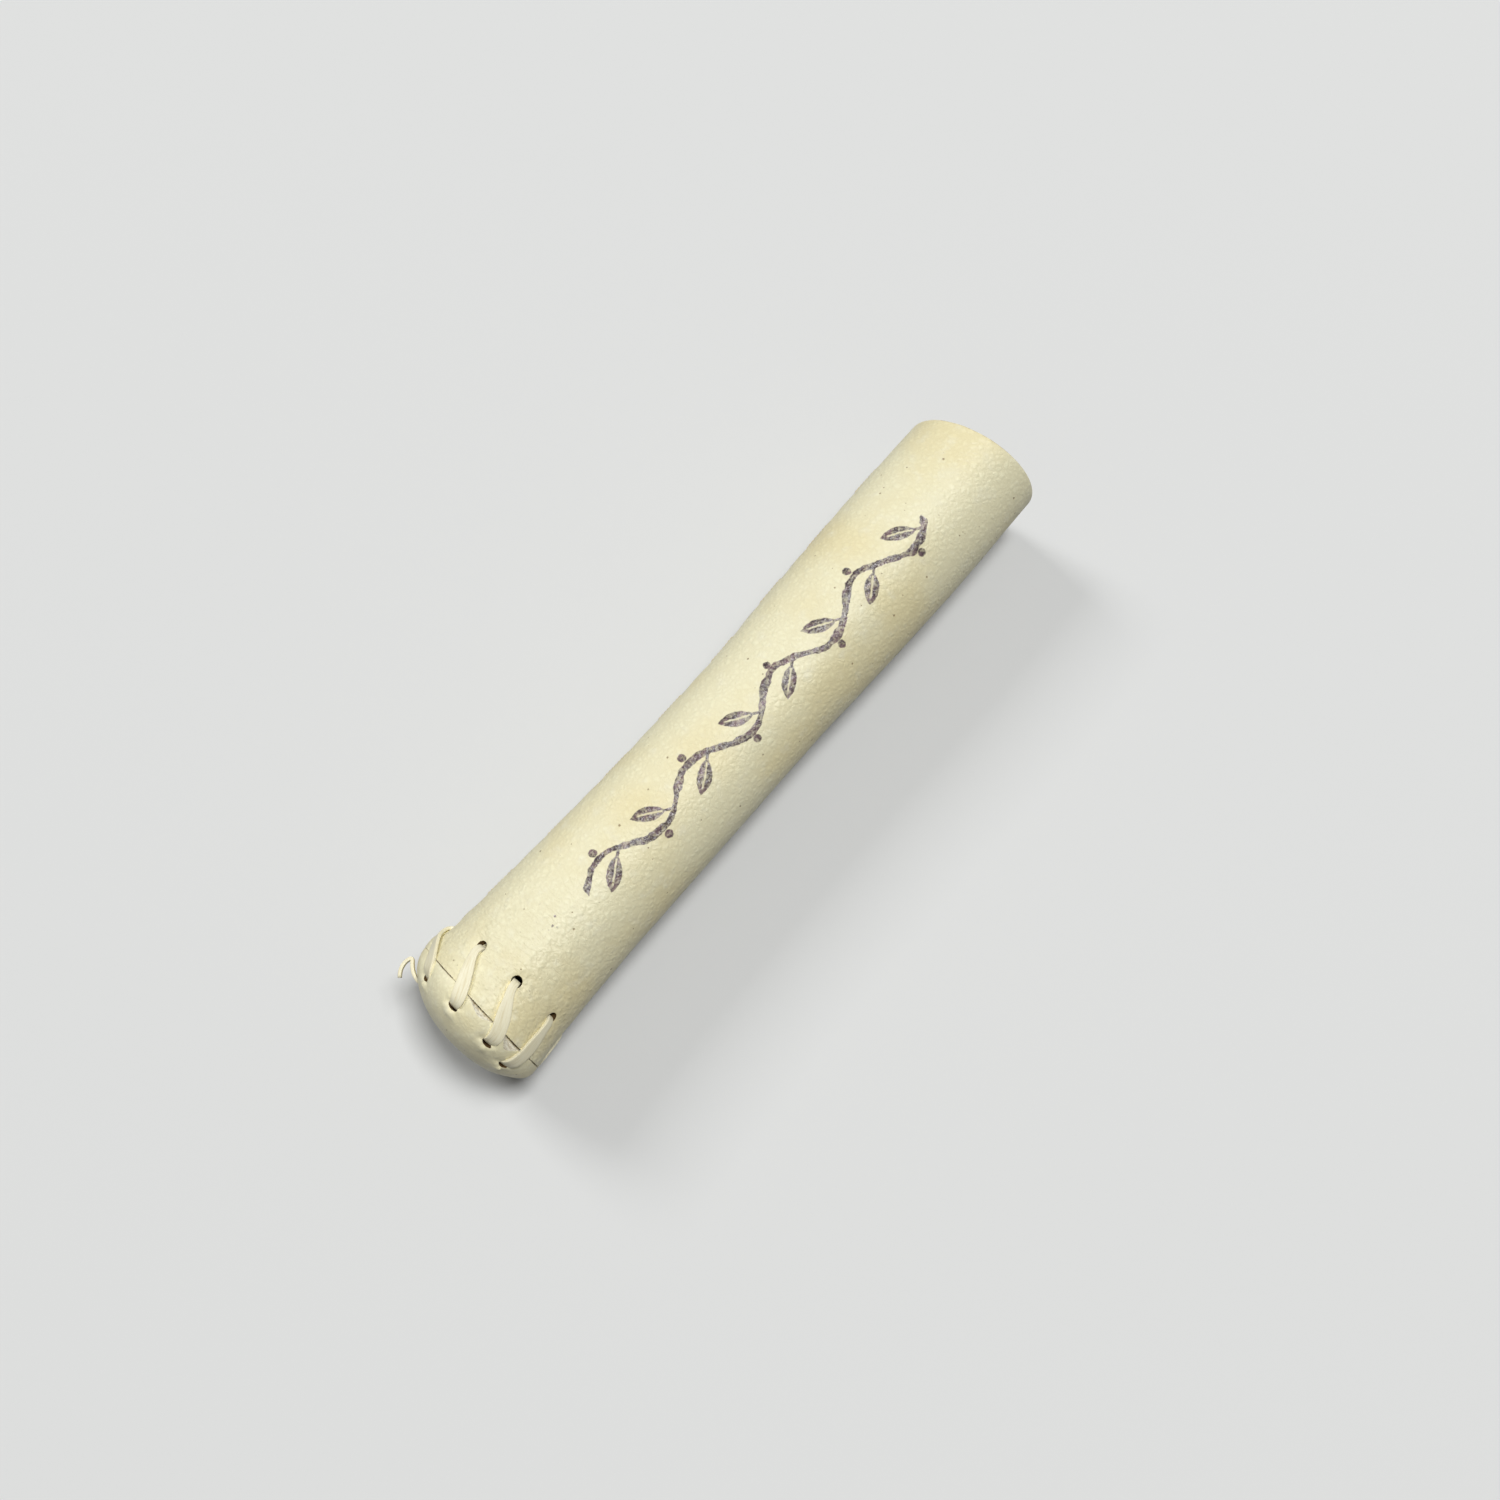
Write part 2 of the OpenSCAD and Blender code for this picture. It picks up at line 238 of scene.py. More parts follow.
class CoverStudio(bpy.types.PropertyGroup):
    """Floor, light and camera."""

    floor: colour("Floor", "Colour of the floor", 225, 226, 225)
    floor_bounce: colour("Floor bounce", "Colour of the light that the floor throws back", 96, 96, 96)
    backdrop: colour("Backdrop", "Colour behind the floor", 224, 225, 224)
    sky: number("Sky", "Strength of the soft light from all round", 0.12)
    key_watts: number("Key power", "Power of the large lamp overhead", 62.0)
    side_watts: number("Side power", "Power of the large lamp on the far side", 30.0)
    lamp_size: length("Lamp size", "Width of the lamps", 900)
    lamp_distance: length("Lamp distance", "Distance of the lamps", 3000)
    key_turn: angle("Key turn", "Direction of the overhead lamp, round from +X", -25)
    key_height: angle("Key height", "Height of the overhead lamp above the floor", 74.5)
    side_turn: angle("Side turn", "Direction of the far lamp, round from +X", 90)
    side_height: angle("Side height", "Height of the far lamp above the floor", 38)
    camera_turn: angle("Camera turn", "Direction of the camera, round from +X", 220.14)
    camera_height: angle("Camera height", "Height of the camera above the floor", 73.18)
    camera_roll: angle("Camera roll", "Turn of the camera about its view", 0.4)
    camera_distance: length("Camera distance", "Distance of the camera from its aim", 156.19)
    camera_lens: bpy.props.FloatProperty(
        name="Lens", description="Focal length of the camera", default=37.465, unit="CAMERA"
    )
    camera_aim: bpy.props.FloatVectorProperty(
        name="Aim", description="Point that the camera looks at", subtype="TRANSLATION",
        size=3, default=(0.03 * MM, -2.35 * MM, -0.45 * MM),
    )


GROUPS = {
    "cover_sleeve": CoverSleeveSizes,
    "cover_seam": CoverSeamSizes,
    "cover_cap": CoverCapSizes,
    "cover_lace": CoverLaceSizes,
    "cover_vine": CoverVineSizes,
    "cover_finish": CoverFinishes,
    "cover_studio": CoverStudio,
}


def measures(group):
    """A group's sizes as plain numbers, with lengths in millimetres and angles in radians."""
    found = {}
    for prop in group.bl_rna.properties:
        if prop.identifier in ("rna_type", "name"):
            continue
        value = getattr(group, prop.identifier)
        found[prop.identifier] = value / MM if getattr(prop, "unit", "") == "LENGTH" else value
    return SimpleNamespace(**found)


# Shape of the cover, in millimetres

def ease(value, low, high):
    """0 below low, 1 above high, and a smooth step between them."""
    part = min(1.0, max(0.0, (value - low) / (high - low)))
    return part * part * (3 - 2 * part)


def hill(*offsets):
    """A round bump of height 1, where each offset is a distance over the bump's own width."""
    return math.exp(-sum(x * x for x in offsets))


def bumps(rows, across, along):
    """Height of round bumps, each given by its height, reach across, place along and reach along."""
    return sum(high * hill(across / wide, (along - at) / far) for high, wide, at, far in rows)


def wrapped(phi):
    """An angle brought between minus and plus half a turn."""
    return (phi + math.pi) % TURN - math.pi


class Form:
    """Where the leather, the lace and the thread lie.

    z runs along the axis from the laced joint, phi round it from the top towards the near side,
    and depth goes through the leather from 0 outside to 1 inside.
    """

    # Lanes of the lace outside and inside the walls, room between the overlap's two layers,
    # and how far the cap's holes lie past the ends of the stitches
    lace_lift = 0.23
    lace_under = 0.3
    lap_gap = 0.03
    hole_past = 0.1
    # How far each stitch's holes miss their marks: degrees and millimetres in the sleeve, then in the cap
    off_marks = (
        (-9, -0.5, 7, 0.1), (2, 0.0, 4, 0.0), (-3, 0.15, -1, 0.0), (-4, 0.2, -18, 0.4),
        (1, 0.1, -8, 0.1), (-2, -0.1, 1, 0.0), (3, 0.05, -2, 0.1), (0, -0.05, 2, 0.0),
    )
    # The overlap: softness of its start, share pressed flat at the joint and the ridge of the edge below
    lap_soft = 0.04
    lap_pressed = 0.95
    step_ease = math.radians(10)
    under_ridge = 0.07
    ridge_width = 0.8
    ridge_back = math.radians(5)
    # Leather bunched up at the joint, in rows for bumps
    seam_gather_phi = math.radians(-85)
    seam_gathers = ((0.75, 2.8, -0.6, 2.8), (0.4, 2.6, 1.4, 1.4))
    near_gather_phi = math.radians(98)
    near_gathers = ((0.45, 1.8, -1.6, 1.3),)
    # Dents under the lace, with the distances from a hole over which they end, swelling between the
    # stitches, dents and swelling at the holes, and star-shaped folds round the holes of the cap
    lace_dent = 0.13
    dent_width = 0.8
    sleeve_dent_end = (-0.9, 0.2)
    cap_dent_end = (-0.5, 0.4)
    swell = 0.1
    swell_reach = 2.4
    sleeve_hole_bumps = ((-0.14, 1.0, 0.0, 0.9), (0.09, 1.2, 1.5, 0.9))
    cap_hole_bumps = ((-0.15, 0.9, 0.0, 0.7), (0.4, 0.75, 0.85, 0.45))
    cap_undercut = ((0.45, 0.9, 0.45, 0.5),)
    star_folds = 5
    star_height = 0.08
    star_reach = 0.95
    star_width = 0.4
    # How far from a stitch, and from the joint on the sleeve and on the cap, the leather gives way
    stitch_reach = 4.0
    sleeve_reach = 6.0
    cap_reach = 6.5
    between_ease = (0.4, 2.4)
    crease_height = 0.05
    # Skin drawn in at the stitches of the side seam and raised between them, and the bed of its thread
    draw_reach = 3.0
    draw_depth = 0.09
    draw_width = 0.9
    draw_rise = 0.03
    rise_width = 1.4
    bed_reach = 0.9
    bed_width = 0.27
    # Waves of the tube and of the cap, and the share of all this that the inside doesn't follow
    slow_wave = 0.09
    quick_wave = 0.03
    cap_sag = 0.05
    sleeve_stays = 0.3
    cap_stays = 0.4
    # Longer slopes of the cap's raw rim: share, middle and reach
    rim_base = 0.12
    rim_slopes = ((0.6, math.radians(16), 0.2), (1.0, math.radians(46), 0.24))

    def __init__(self, scene):
        self.sleeve = measures(scene.cover_sleeve)
        self.seam = measures(scene.cover_seam)
        self.cap = measures(scene.cover_cap)
        self.lace = measures(scene.cover_lace)
        s = self.sleeve
        m = self.seam
        self.leather = s.leather
        self.grip_end = s.heel_length + s.grip_length
        self.grip_centre = s.heel_length + s.grip_length / 2
        self.crest = s.length - s.lip_length
        self.joint_r = s.grip_bore / 2 + s.heel_flare / 2 + s.leather
        self.mouth_r = self.skin(s.length)
        self.lap_back = m.lap_rise * math.cos(m.lap_span) / (1 - math.cos(m.lap_span))
        self.lap_shift = self.lap_back + m.lap_rise
        self.cut_r = s.grip_bore / 2 + s.leather
        self.cut_width = (TURN + m.under_span) * self.cut_r
        self.stitch_turn = m.stitch_inset / self.cut_r
        self.stitch_phi = m.lap_edge + self.stitch_turn
        span = s.length - m.heel_margin - m.mouth_margin
        self.stitch_count = 2 * ((int(span / m.stitch_pitch) + 1) // 2)
        self.lace_hole = self.lace.width * (1 - self.lace.pinch) + self.lace.room
        self.lace_slit = self.lace.width
        self.thread_hole = m.thread * 1.6
        self.lace_step = TURN / self.lace.count
        self.tail_phi = self.lace.start - self.lace.tail_back
        self.arcs, self.arc_turns = self.dome_arcs()
        self.cap_arc = self.arcs[-1]
        self.holes = self.cap_holes()
        self.hole_arcs = [self.dome_arc(d) for _, d in self.holes]

    # Along the sleeve

    def bore(self, z):
        """Radius of the bore."""
        s = self.sleeve
        r = s.grip_bore / 2
        if z < s.heel_length:
            r += s.heel_flare / 2 * ((s.heel_length - z) / s.heel_length) ** 2
        if z > self.grip_end:
            part = min(1.0, (z - self.grip_end) / (self.crest - self.grip_end))
            r += s.mouth_flare / 2 * math.sin(QUARTER * part)
        if z > self.crest:
            r -= s.lip_draw / 2 * ((z - self.crest) / s.lip_length) ** 2
        return r

    def skin(self, z):
        """Radius of the outside of the leather, away from the overlap."""
        return self.bore(z) + self.leather

    def lapped(self, r, turn, pressed):
        """Outside radius of the overlap, a turn away from its free edge, less what is pressed flat."""
        high = self.lap_shift * math.cos(turn)
        root = (r - self.lap_back) ** 2 - (self.lap_shift * math.sin(turn)) ** 2
        over = high + math.sqrt(root) - r
        soft = self.lap_soft ** 2
        rise = (over + math.sqrt(over * over + soft)) / 2 - soft
        return r + rise * (1 - pressed)

    def seam_face(self, z, turn):
        """Radius where the two thinned edges lie on each other."""
        part = min(1.0, turn / self.seam.under_span)
        return self.bore(z) + self.leather + (self.seam.feather - self.leather) * part

    def walls(self, z, turn):
        """Inside and outside radius of the sheet, a turn away from its free edge."""
        m = self.seam
        bore = self.bore(z)
        skin = bore + self.leather
        if turn >= TURN:
            return bore, self.seam_face(z, turn - TURN)
        pressed = self.lap_pressed * (1 - ease(z, -0.5, 4.5))
        outside = self.lapped(skin, turn, pressed) if turn < QUARTER else skin
        ridge_off = (turn - m.under_span + self.ridge_back) * skin
        outside += self.under_ridge * hill(ridge_off / self.ridge_width)
        if turn <= m.under_span:
            return self.seam_face(z, turn) + self.lap_gap, outside
        step = (m.feather + self.lap_gap) * (1 - ease(turn, m.under_span, m.under_span + self.step_ease))
        return bore + step, outside

    def joint_z(self, phi, r=None):
        """Height of the slanting joint."""
        return -math.tan(self.sleeve.joint_slant) * math.sin(phi) * (r or self.joint_r)

    def mouth_z(self, phi, r=None):
        """Height of the slanting mouth."""
        return self.sleeve.length + math.tan(self.sleeve.mouth_slant) * math.sin(phi) * (r or self.mouth_r)

    def place(self, z, phi, r):
        """A point of the lying sleeve."""
        part = min(1.0, max(0.0, z / self.sleeve.length))
        bow = self.sleeve.bow * math.sin(math.pi * part) ** 2
        return Vector((z - self.grip_centre, -bow - r * math.sin(phi), r * math.cos(phi)))

    def off_mark(self, i):
        """How far a stitch's holes miss their marks."""
        return self.off_marks[i % len(self.off_marks)]

    def lace_phi(self, i):
        """Angle of a stitch's hole in the sleeve."""
        return self.lace.start + self.lace_step * i + math.radians(self.off_mark(i)[0])

    def cap_phi(self, i):
        """Angle of a stitch's hole in the cap."""
        return self.lace.start + self.lace_step * i + self.lace.lean + math.radians(self.off_mark(i)[2])

    def hole_inset(self, i):
        """Distance of a stitch's hole in the sleeve from the joint."""
        return self.lace.sleeve_inset + self.off_mark(i)[1]

    def cap_inset(self, i):
        """Distance of a stitch's hole in the cap from the joint."""
        return self.lace.cap_inset + self.off_mark(i)[3]

    def lean_phi(self, i, d):
        """Angle of a stitch at a distance from the joint, less than 0 on the cap."""
        top = self.hole_inset(i)
        part = (top - d) / (top + self.cap_inset(i))
        return self.lace_phi(i) + (self.cap_phi(i) - self.lace_phi(i)) * min(1.0, max(0.0, part))

    def across(self, phi, other):
        """Distance round the joint from one angle to another."""
        return wrapped(phi - other) * self.joint_r

    def between(self, phi, d):
        """0 at a stitch and 1 well away from any, at a distance from the joint."""
        off = min(abs(self.across(phi, self.lean_phi(i, d))) for i in range(self.lace.count))
        return ease(off, *self.between_ease)

    def stitch_z(self, k):
        """Height of a hole of the side seam."""
        return self.seam.heel_margin + self.seam.stitch_pitch * k

    # How the soft leather gives way

    def gathers(self, d, phi):
        """Leather bunched up on the two sides of the joint, d from it and less than 0 on the cap."""
        seam_off = self.across(phi, self.seam_gather_phi)
        near_off = self.across(phi, self.near_gather_phi)
        return bumps(self.seam_gathers, seam_off, d) + bumps(self.near_gathers, near_off, d)

    def lace_pull(self, d, phi):
        """How far the sleeve's skin is lifted or drawn in round the stitches."""
        if d > self.lace.sleeve_inset + self.sleeve_reach:
            return 0.0
        total = self.gathers(d, phi)
        for i in range(self.lace.count):
            under = self.across(phi, self.lean_phi(i, d))
            if abs(under) > self.stitch_reach:
                continue
            hole = self.across(phi, self.lace_phi(i))
            from_hole = d - self.hole_inset(i)
            covered = 1 - ease(from_hole, *self.sleeve_dent_end)
            total -= self.lace_dent * hill(under / self.dent_width) * covered
            total += bumps(self.sleeve_hole_bumps, hole, from_hole)
        total += self.swell * self.between(phi, d) * hill(d / self.swell_reach)
        creases = noise.noise(Vector((d * 1.1, phi * 2.2, 3.1)))
        total += self.crease_height * creases * hill(d / self.sleeve_reach) * ease(d, 0.2, 1.5)
        return total

    def stitch_pull(self, z, across):
        """How far the skin is drawn in along the side seam, across millimetres from its stitches."""
        if abs(across) > self.draw_reach:
            return 0.0
        k = (z - self.seam.heel_margin) / self.seam.stitch_pitch
        nearest = min(self.stitch_count - 1, max(0, round(k)))
        away = z - self.stitch_z(nearest)
        drawn = -self.draw_depth * hill(away / self.draw_width, across / self.draw_width)
        if 0 <= k <= self.stitch_count - 1:
            drawn += self.draw_rise * hill(across / self.rise_width) * math.sin(math.pi * (k % 1)) ** 2
        return drawn

    def thread_beds(self, z, across):
        """Depth of the thread's groove outside and inside, across millimetres from the stitches."""
        if abs(across) > self.bed_reach:
            return 0.0, 0.0
        k = math.floor((z - self.seam.heel_margin) / self.seam.stitch_pitch)
        groove = hill(across / self.bed_width)
        if 0 <= k < self.stitch_count - 1:
            if k % 2 == 0:
                return (self.seam.thread_sink + self.seam.thread * 0.5) * groove, 0.0
            return 0.0, (self.seam.thread_bed + self.seam.thread * 0.5) * groove
        return 0.0, 0.0

    def give(self, z, d, phi):
        """Slow waves of the hand-rolled tube, and the draw of the lacing."""
        around = Vector((z * 0.07, 0.9 * math.cos(phi), 0.9 * math.sin(phi)))
        slow = self.slow_wave * noise.noise(around + Vector((0, 5.3, 0)))
        quick = self.quick_wave * noise.noise(Vector((z * 0.3, 2.6 * math.cos(phi), 2.6 * math.sin(phi))))
        return slow + quick + self.lace_pull(d, phi)

    def rolled(self, flat):
        """A point of the flat cut sheet, once the sheet is rolled up."""
        s = self.sleeve
        turn = max(0.0, -flat.y / self.cut_r)
        phi = self.seam.lap_edge + turn
        depth = -flat.z / self.leather
        start = self.joint_z(phi, self.joint_r - depth * self.leather)
        end = self.mouth_z(phi, self.mouth_r - depth * self.leather)
        z = start + flat.x / s.length * (end - start)
        inside, outside = self.walls(z, turn)
        r = outside + (inside - outside) * depth
        r += self.give(z, z - start, phi) * (1 - self.sleeve_stays * depth)
        across = (wrapped(turn) - self.stitch_turn) * self.cut_r
        bed_out, bed_in = self.thread_beds(z, across)
        if turn < math.pi:
            r += (self.stitch_pull(z, across) - bed_out) * (1 - depth)
        if turn > math.pi:
            r += bed_in * depth
        return self.place(z, phi, r)

    def flat_at(self, z, turn):
        """Where a point of the rolled sheet lies on the flat one."""
        phi = self.seam.lap_edge + turn
        start = self.joint_z(phi)
        x = (z - start) / (self.mouth_z(phi) - start) * self.sleeve.length
        return Vector((x, -turn * self.cut_r, 0.0))

    # Over the cap

    def dome(self, t, depth):
        """Radius and height on the cap, at t from its rim (0) to its middle (a quarter turn)."""
        power = 2 / self.cap.shoulder
        r = (self.joint_r - depth * self.leather) * max(0.0, math.cos(t)) ** power
        return r, -(self.cap.height - depth * self.leather) * max(0.0, math.sin(t)) ** power

    def turn_below(self, d, depth):
        """The t at a distance d below the joint."""
        part = d / (self.cap.height - depth * self.leather)
        return math.asin(min(1.0, part) ** (self.cap.shoulder / 2))

    def dome_arcs(self):
        """Distances over the dome from the rim, with the t of each."""
        steps = 600
        turns = [QUARTER * i / steps for i in range(steps + 1)]
        arcs = [0.0]
        for a, b in zip(turns, turns[1:]):
            arcs.append(arcs[-1] + math.dist(self.dome(a, 0), self.dome(b, 0)))
        return arcs, turns

    def dome_turn(self, arc):
        """The t at a distance from the rim over the dome."""
        arc = min(self.cap_arc, max(0.0, arc))
        i = min(len(self.arcs) - 2, max(0, bisect.bisect_right(self.arcs, arc) - 1))
        part = (arc - self.arcs[i]) / (self.arcs[i + 1] - self.arcs[i])
        return self.arc_turns[i] + (self.arc_turns[i + 1] - self.arc_turns[i]) * part

    def dome_arc(self, d):
        """The distance from the rim over the dome, d below the joint."""
        last = len(self.arcs) - 1
        return self.arcs[min(last, round(self.turn_below(d, 0) / QUARTER * last))]

    def cap_holes(self):
        """Angle and distance below the joint of each hole in the cap."""
        stitches = range(self.lace.count)
        holes = [(self.cap_phi(i), self.cap_inset(i) + self.hole_past) for i in stitches]
        return holes + [(self.tail_phi, self.lace.tail_inset)]

    def cap_pull(self, arc, phi):
        """How far the cap's skin is lifted or drawn in round the stitches."""
        if arc > self.cap_reach:
            return 0.0
        total = self.gathers(-arc, phi) * (1 - ease(arc, 4.0, self.cap_reach))
        for i in range(self.lace.count):
            under = self.across(phi, self.lean_phi(i, -arc))
            if abs(under) > self.stitch_reach:
                continue
            hole = self.across(phi, self.cap_phi(i))
            from_hole = arc - self.hole_arcs[i]
            covered = 1 - ease(from_hole, *self.cap_dent_end)
            total -= self.lace_dent * hill(under / self.dent_width) * covered
            total += bumps(self.cap_hole_bumps, hole, from_hole)
            star = self.star_height * math.cos(self.star_folds * math.atan2(from_hole, hole))
            total += star * hill((math.hypot(hole, from_hole) - self.star_reach) / self.star_width)
        total += self.swell * self.between(phi, -arc) * hill(arc / self.swell_reach)
        gathers = noise.noise(Vector((4.2 * math.cos(phi), 4.2 * math.sin(phi), 7.7)))
        fine = noise.noise(Vector((9 * math.cos(phi), 9 * math.sin(phi), arc * 0.35)))
        folds = self.cap.pucker * (gathers + 0.6 * fine)
        return total + folds * ease(arc, 0.3, 1.6) * (1 - ease(arc, 3.2, self.cap_reach))

    def undercut(self, arc, phi):
        """How far the inside of the cap lies past a hole's far rim, which the lace has pulled up."""
        total = 0.0
        for (hole_phi, _), hole_arc in zip(self.holes, self.hole_arcs):
            total += bumps(self.cap_undercut, self.across(phi, hole_phi), arc - hole_arc)
        return total

    def rim_slope(self, phi):
        """How far the rim's raw edge slopes back at an angle."""
        long_cut = sum(part * hill(wrapped(phi - at) / far) for part, at, far in self.rim_slopes)
        return self.cap.rim_cut * (self.rim_base + long_cut) * (0.2 + 0.8 * self.between(phi, 0.0))

    def tilted(self, z, phi, r):
        """A point of the cap, square to the slanting joint."""
        y = -r * math.sin(phi)
        cos = math.cos(self.sleeve.joint_slant)
        sin = math.sin(self.sleeve.joint_slant)
        return Vector((y * sin + z * cos - self.grip_centre, y * cos - z * sin, r * math.cos(phi)))

    def moulded(self, flat):
        """A point of the flat cut disc, once the disc is moulded over the end."""
        out = math.hypot(flat.x, flat.y)
        phi = -math.atan2(flat.y, flat.x)
        depth = -flat.z / self.leather
        arc = max(0.0, self.cap_arc - out)
        slope = self.rim_slope(phi) * (1 - ease(arc, 0.0, 3.0)) * (1 - depth) ** 2
        under = self.undercut(arc, phi) * depth
        r, z = self.dome(self.dome_turn(arc + slope + under), depth)
        r += self.cap_pull(arc + slope, phi) * (1 - self.cap_stays * depth)
        sag = self.cap_sag * noise.noise(Vector((flat.x * 0.25, flat.y * 0.25, 1.9)))
        return self.tilted(z + sag, phi, r)

    # Along the lace

    def lace_point(self, d, phi, side):
        """A point of the lace's middle line. side is 1 outside the wall and -1 inside it."""
        out = (1 + side) / 2
        if d >= 0:
            z = self.joint_z(phi) + d
            turn = (phi - self.seam.lap_edge) % TURN
            give = self.give(z, d, phi)
            outer = self.walls(z, turn)[1] + give + self.lace_lift
            inner = self.bore(z) - self.lace_under
            return self.place(z, phi, outer * out + inner * (1 - out))
        outer = self.dome(self.turn_below(-d, 0), 0)[0] + self.cap_pull(-d, phi) + self.lace_lift
        inner = self.dome(self.turn_below(-d, 1), 1)[0] - self.lace_under
        return self.tilted(d, phi, outer * out + inner * (1 - out))


# Meshes and objects

def once(items):
    """Each item one time, in the order in which they come, so that each run gives the same mesh."""
    return list(dict.fromkeys(items))


def rim_walk(edges):
    """The corners of a hole in their order round it."""
    left = list(edges)
    walk = list(left.pop(0).verts)
    while left:
        ahead = [e for e in walk[-1].link_edges if e in left]
        if not ahead:
            raise RuntimeError("a hole has no clean rim")
        left.remove(ahead[0])
        walk.append(ahead[0].other_vert(walk[-1]))
    if walk[0] is not walk[-1] or len(walk) < 8:
        raise RuntimeError("a hole has no closed rim")
    return walk[:-1]


def punch(bm, centre, radius, stretch, fine, narrow=1.0):
    """Cuts a hole into a flat sheet that widens across y by stretch when it is formed.

    narrow is the hole's share of its radius along x.
    """
    def off(point):
        return Vector(((point.x - centre.x) / narrow, (point.y - centre.y) * stretch)).length

    refined = radius + 3.5 * fine
    too_long = 1.6 * fine
    rim_reach = 1.6 * radius
    for _ in range(2):
        near = [f for f in bm.faces if off(f.calc_center_median()) < refined]
        edges = once(e for f in near for e in f.edges if e.calc_length() > too_long)
        if edges:
            bmesh.ops.subdivide_edges(bm, edges=edges, cuts=1, use_grid_fill=True)
    middle = [f for f in bm.faces if off(f.calc_center_median()) < radius]
    bmesh.ops.delete(bm, geom=middle, context="FACES")
    bounds = [e for e in bm.edges if e.is_boundary]
    rim = rim_walk([e for e in bounds if off((e.verts[0].co + e.verts[1].co) / 2) < rim_reach])

    def bearing(v):
        return math.atan2((v.co.y - centre.y) * stretch, (v.co.x - centre.x) / narrow)

    # Each run starts at the same corner: the one nearest to a bearing that lies on no grid line
    odd_bearing = 0.3
    start = min(range(len(rim)), key=lambda i: abs(wrapped(bearing(rim[i]) - odd_bearing)))
    rim = rim[start:] + rim[:start]
    first = bearing(rim[0])
    way = math.copysign(1, sum(wrapped(bearing(b) - bearing(a)) for a, b in zip(rim, rim[1:])))
    for i, v in enumerate(rim):
        a = first + way * TURN * i / len(rim)
        v.co.x = centre.x + radius * narrow * math.cos(a)
        v.co.y = centre.y + radius * math.sin(a) / stretch
    ring = once(v for r in rim for e in r.link_edges for v in e.verts)
    ring = once(v for r in ring for e in r.link_edges for v in e.verts)
    free = [v for v in ring if not v.is_boundary]
    for _ in range(4):
        bmesh.ops.smooth_vert(bm, verts=free, factor=0.5, use_axis_x=True, use_axis_y=True)


def round_edges(bm, edges, size, segments):
    """Rounds edges of a cut sheet."""
    bmesh.ops.bevel(
        bm, geom=edges, offset=size, offset_type="OFFSET", segments=segments, profile=0.5,
        affect="EDGES", material=-1, clamp_overlap=True,
    )


def sharp_edges(bm, test):
    """Edges of a cut sheet that stand square, where test holds for their middle."""
    found = []
    for e in bm.edges:
        if len(e.link_faces) == 2 and e.calc_face_angle(0.0) > 1.0:
            if test((e.verts[0].co + e.verts[1].co) / 2):
                found.append(e)
    return found


def thicken(bm, leather, soft_edge, outline):
    """Gives a flat cut sheet its thickness, rounds its edges and sorts its faces into finishes.

    The finishes are the grain, the suede, the cut edge where outline holds, and the holes.
    """
    soft_round = 0.24
    cut_round = 0.07
    flat_from = 0.8
    bmesh.ops.solidify(bm, geom=bm.faces[:], thickness=leather)
    through = [e for e in bm.edges if abs(e.verts[0].co.z - e.verts[1].co.z) > leather / 2]
    bmesh.ops.subdivide_edges(bm, edges=through, cuts=3)
    bm.normal_update()
    round_edges(bm, sharp_edges(bm, soft_edge), soft_round, 3)
    bm.normal_update()
    round_edges(bm, sharp_edges(bm, lambda p: not soft_edge(p)), cut_round, 2)
    bm.normal_update()
    for f in bm.faces:
        f.smooth = True
        if abs(f.normal.z) > flat_from:
            f.material_index = 0 if f.normal.z > 0 else 1
        else:
            f.material_index = 2 if outline(f.calc_center_median()) else 3


def lay_out_uv(bm):
    """Writes the flat sheet's own places as its UV map."""
    layer = bm.loops.layers.uv.new(UV_MAP)
    for f in bm.faces:
        for corner in f.loops:
            p = corner.vert.co
            corner[layer].uv = (p.x / UV_SPAN + UV_START[0], p.y / UV_SPAN + UV_START[1])


def on_cut(x, y):
    """A place of a flat sheet as its finishes read it, in millimetres."""
    return x + UV_START[0] * UV_SPAN, y + UV_START[1] * UV_SPAN


def form_sheet(bm, shape):
    """Moves each point of a flat sheet to its place on the object."""
    for v in bm.verts:
        v.co = shape(v.co)
    bmesh.ops.scale(bm, vec=(MM, MM, MM), verts=bm.verts)


def sweep(section, frames):
    """A closed strand: a section drawn along frames of (middle, side, lift, distance)."""
    bm = bmesh.new()
    around = bm.verts.layers.float.new("around")
    along = bm.verts.layers.float.new("along")

    def set_ring(verts, frame_at):
        middle, side, lift, distance = frame_at
        for v in verts:
            x, y = section[round(v[around])]
            v.co = middle + side * x + lift * y
            v[along] = distance

    whole = len(section)
    ring = bmesh.ops.create_circle(bm, cap_ends=True, segments=whole, radius=1.0)["verts"]
    for i, v in enumerate(ring):
        v[around] = i
    edges = once(e for v in ring for e in v.link_edges)
    set_ring(ring, frames[0])
    for frame_at in frames[1:]:
        made = bmesh.ops.extrude_edge_only(bm, edges=edges)["geom"]
        edges = [g for g in made if isinstance(g, bmesh.types.BMEdge)]
        set_ring([g for g in made if isinstance(g, bmesh.types.BMVert)], frame_at)
    bmesh.ops.contextual_create(bm, geom=edges)
    bmesh.ops.recalc_face_normals(bm, faces=bm.faces[:])
    layer = bm.loops.layers.uv.new(UV_MAP)
    for f in bm.faces:
        f.smooth = True
        turns = [corner.vert[around] for corner in f.loops]
        split = max(turns) - min(turns) > whole / 2
        for corner, turn in zip(f.loops, turns):
            turn += whole if split and turn < whole / 2 else 0
            corner[layer].uv = (corner.vert[along] / UV_SPAN, turn / whole)
    bmesh.ops.scale(bm, vec=(MM, MM, MM), verts=bm.verts)
    return bm


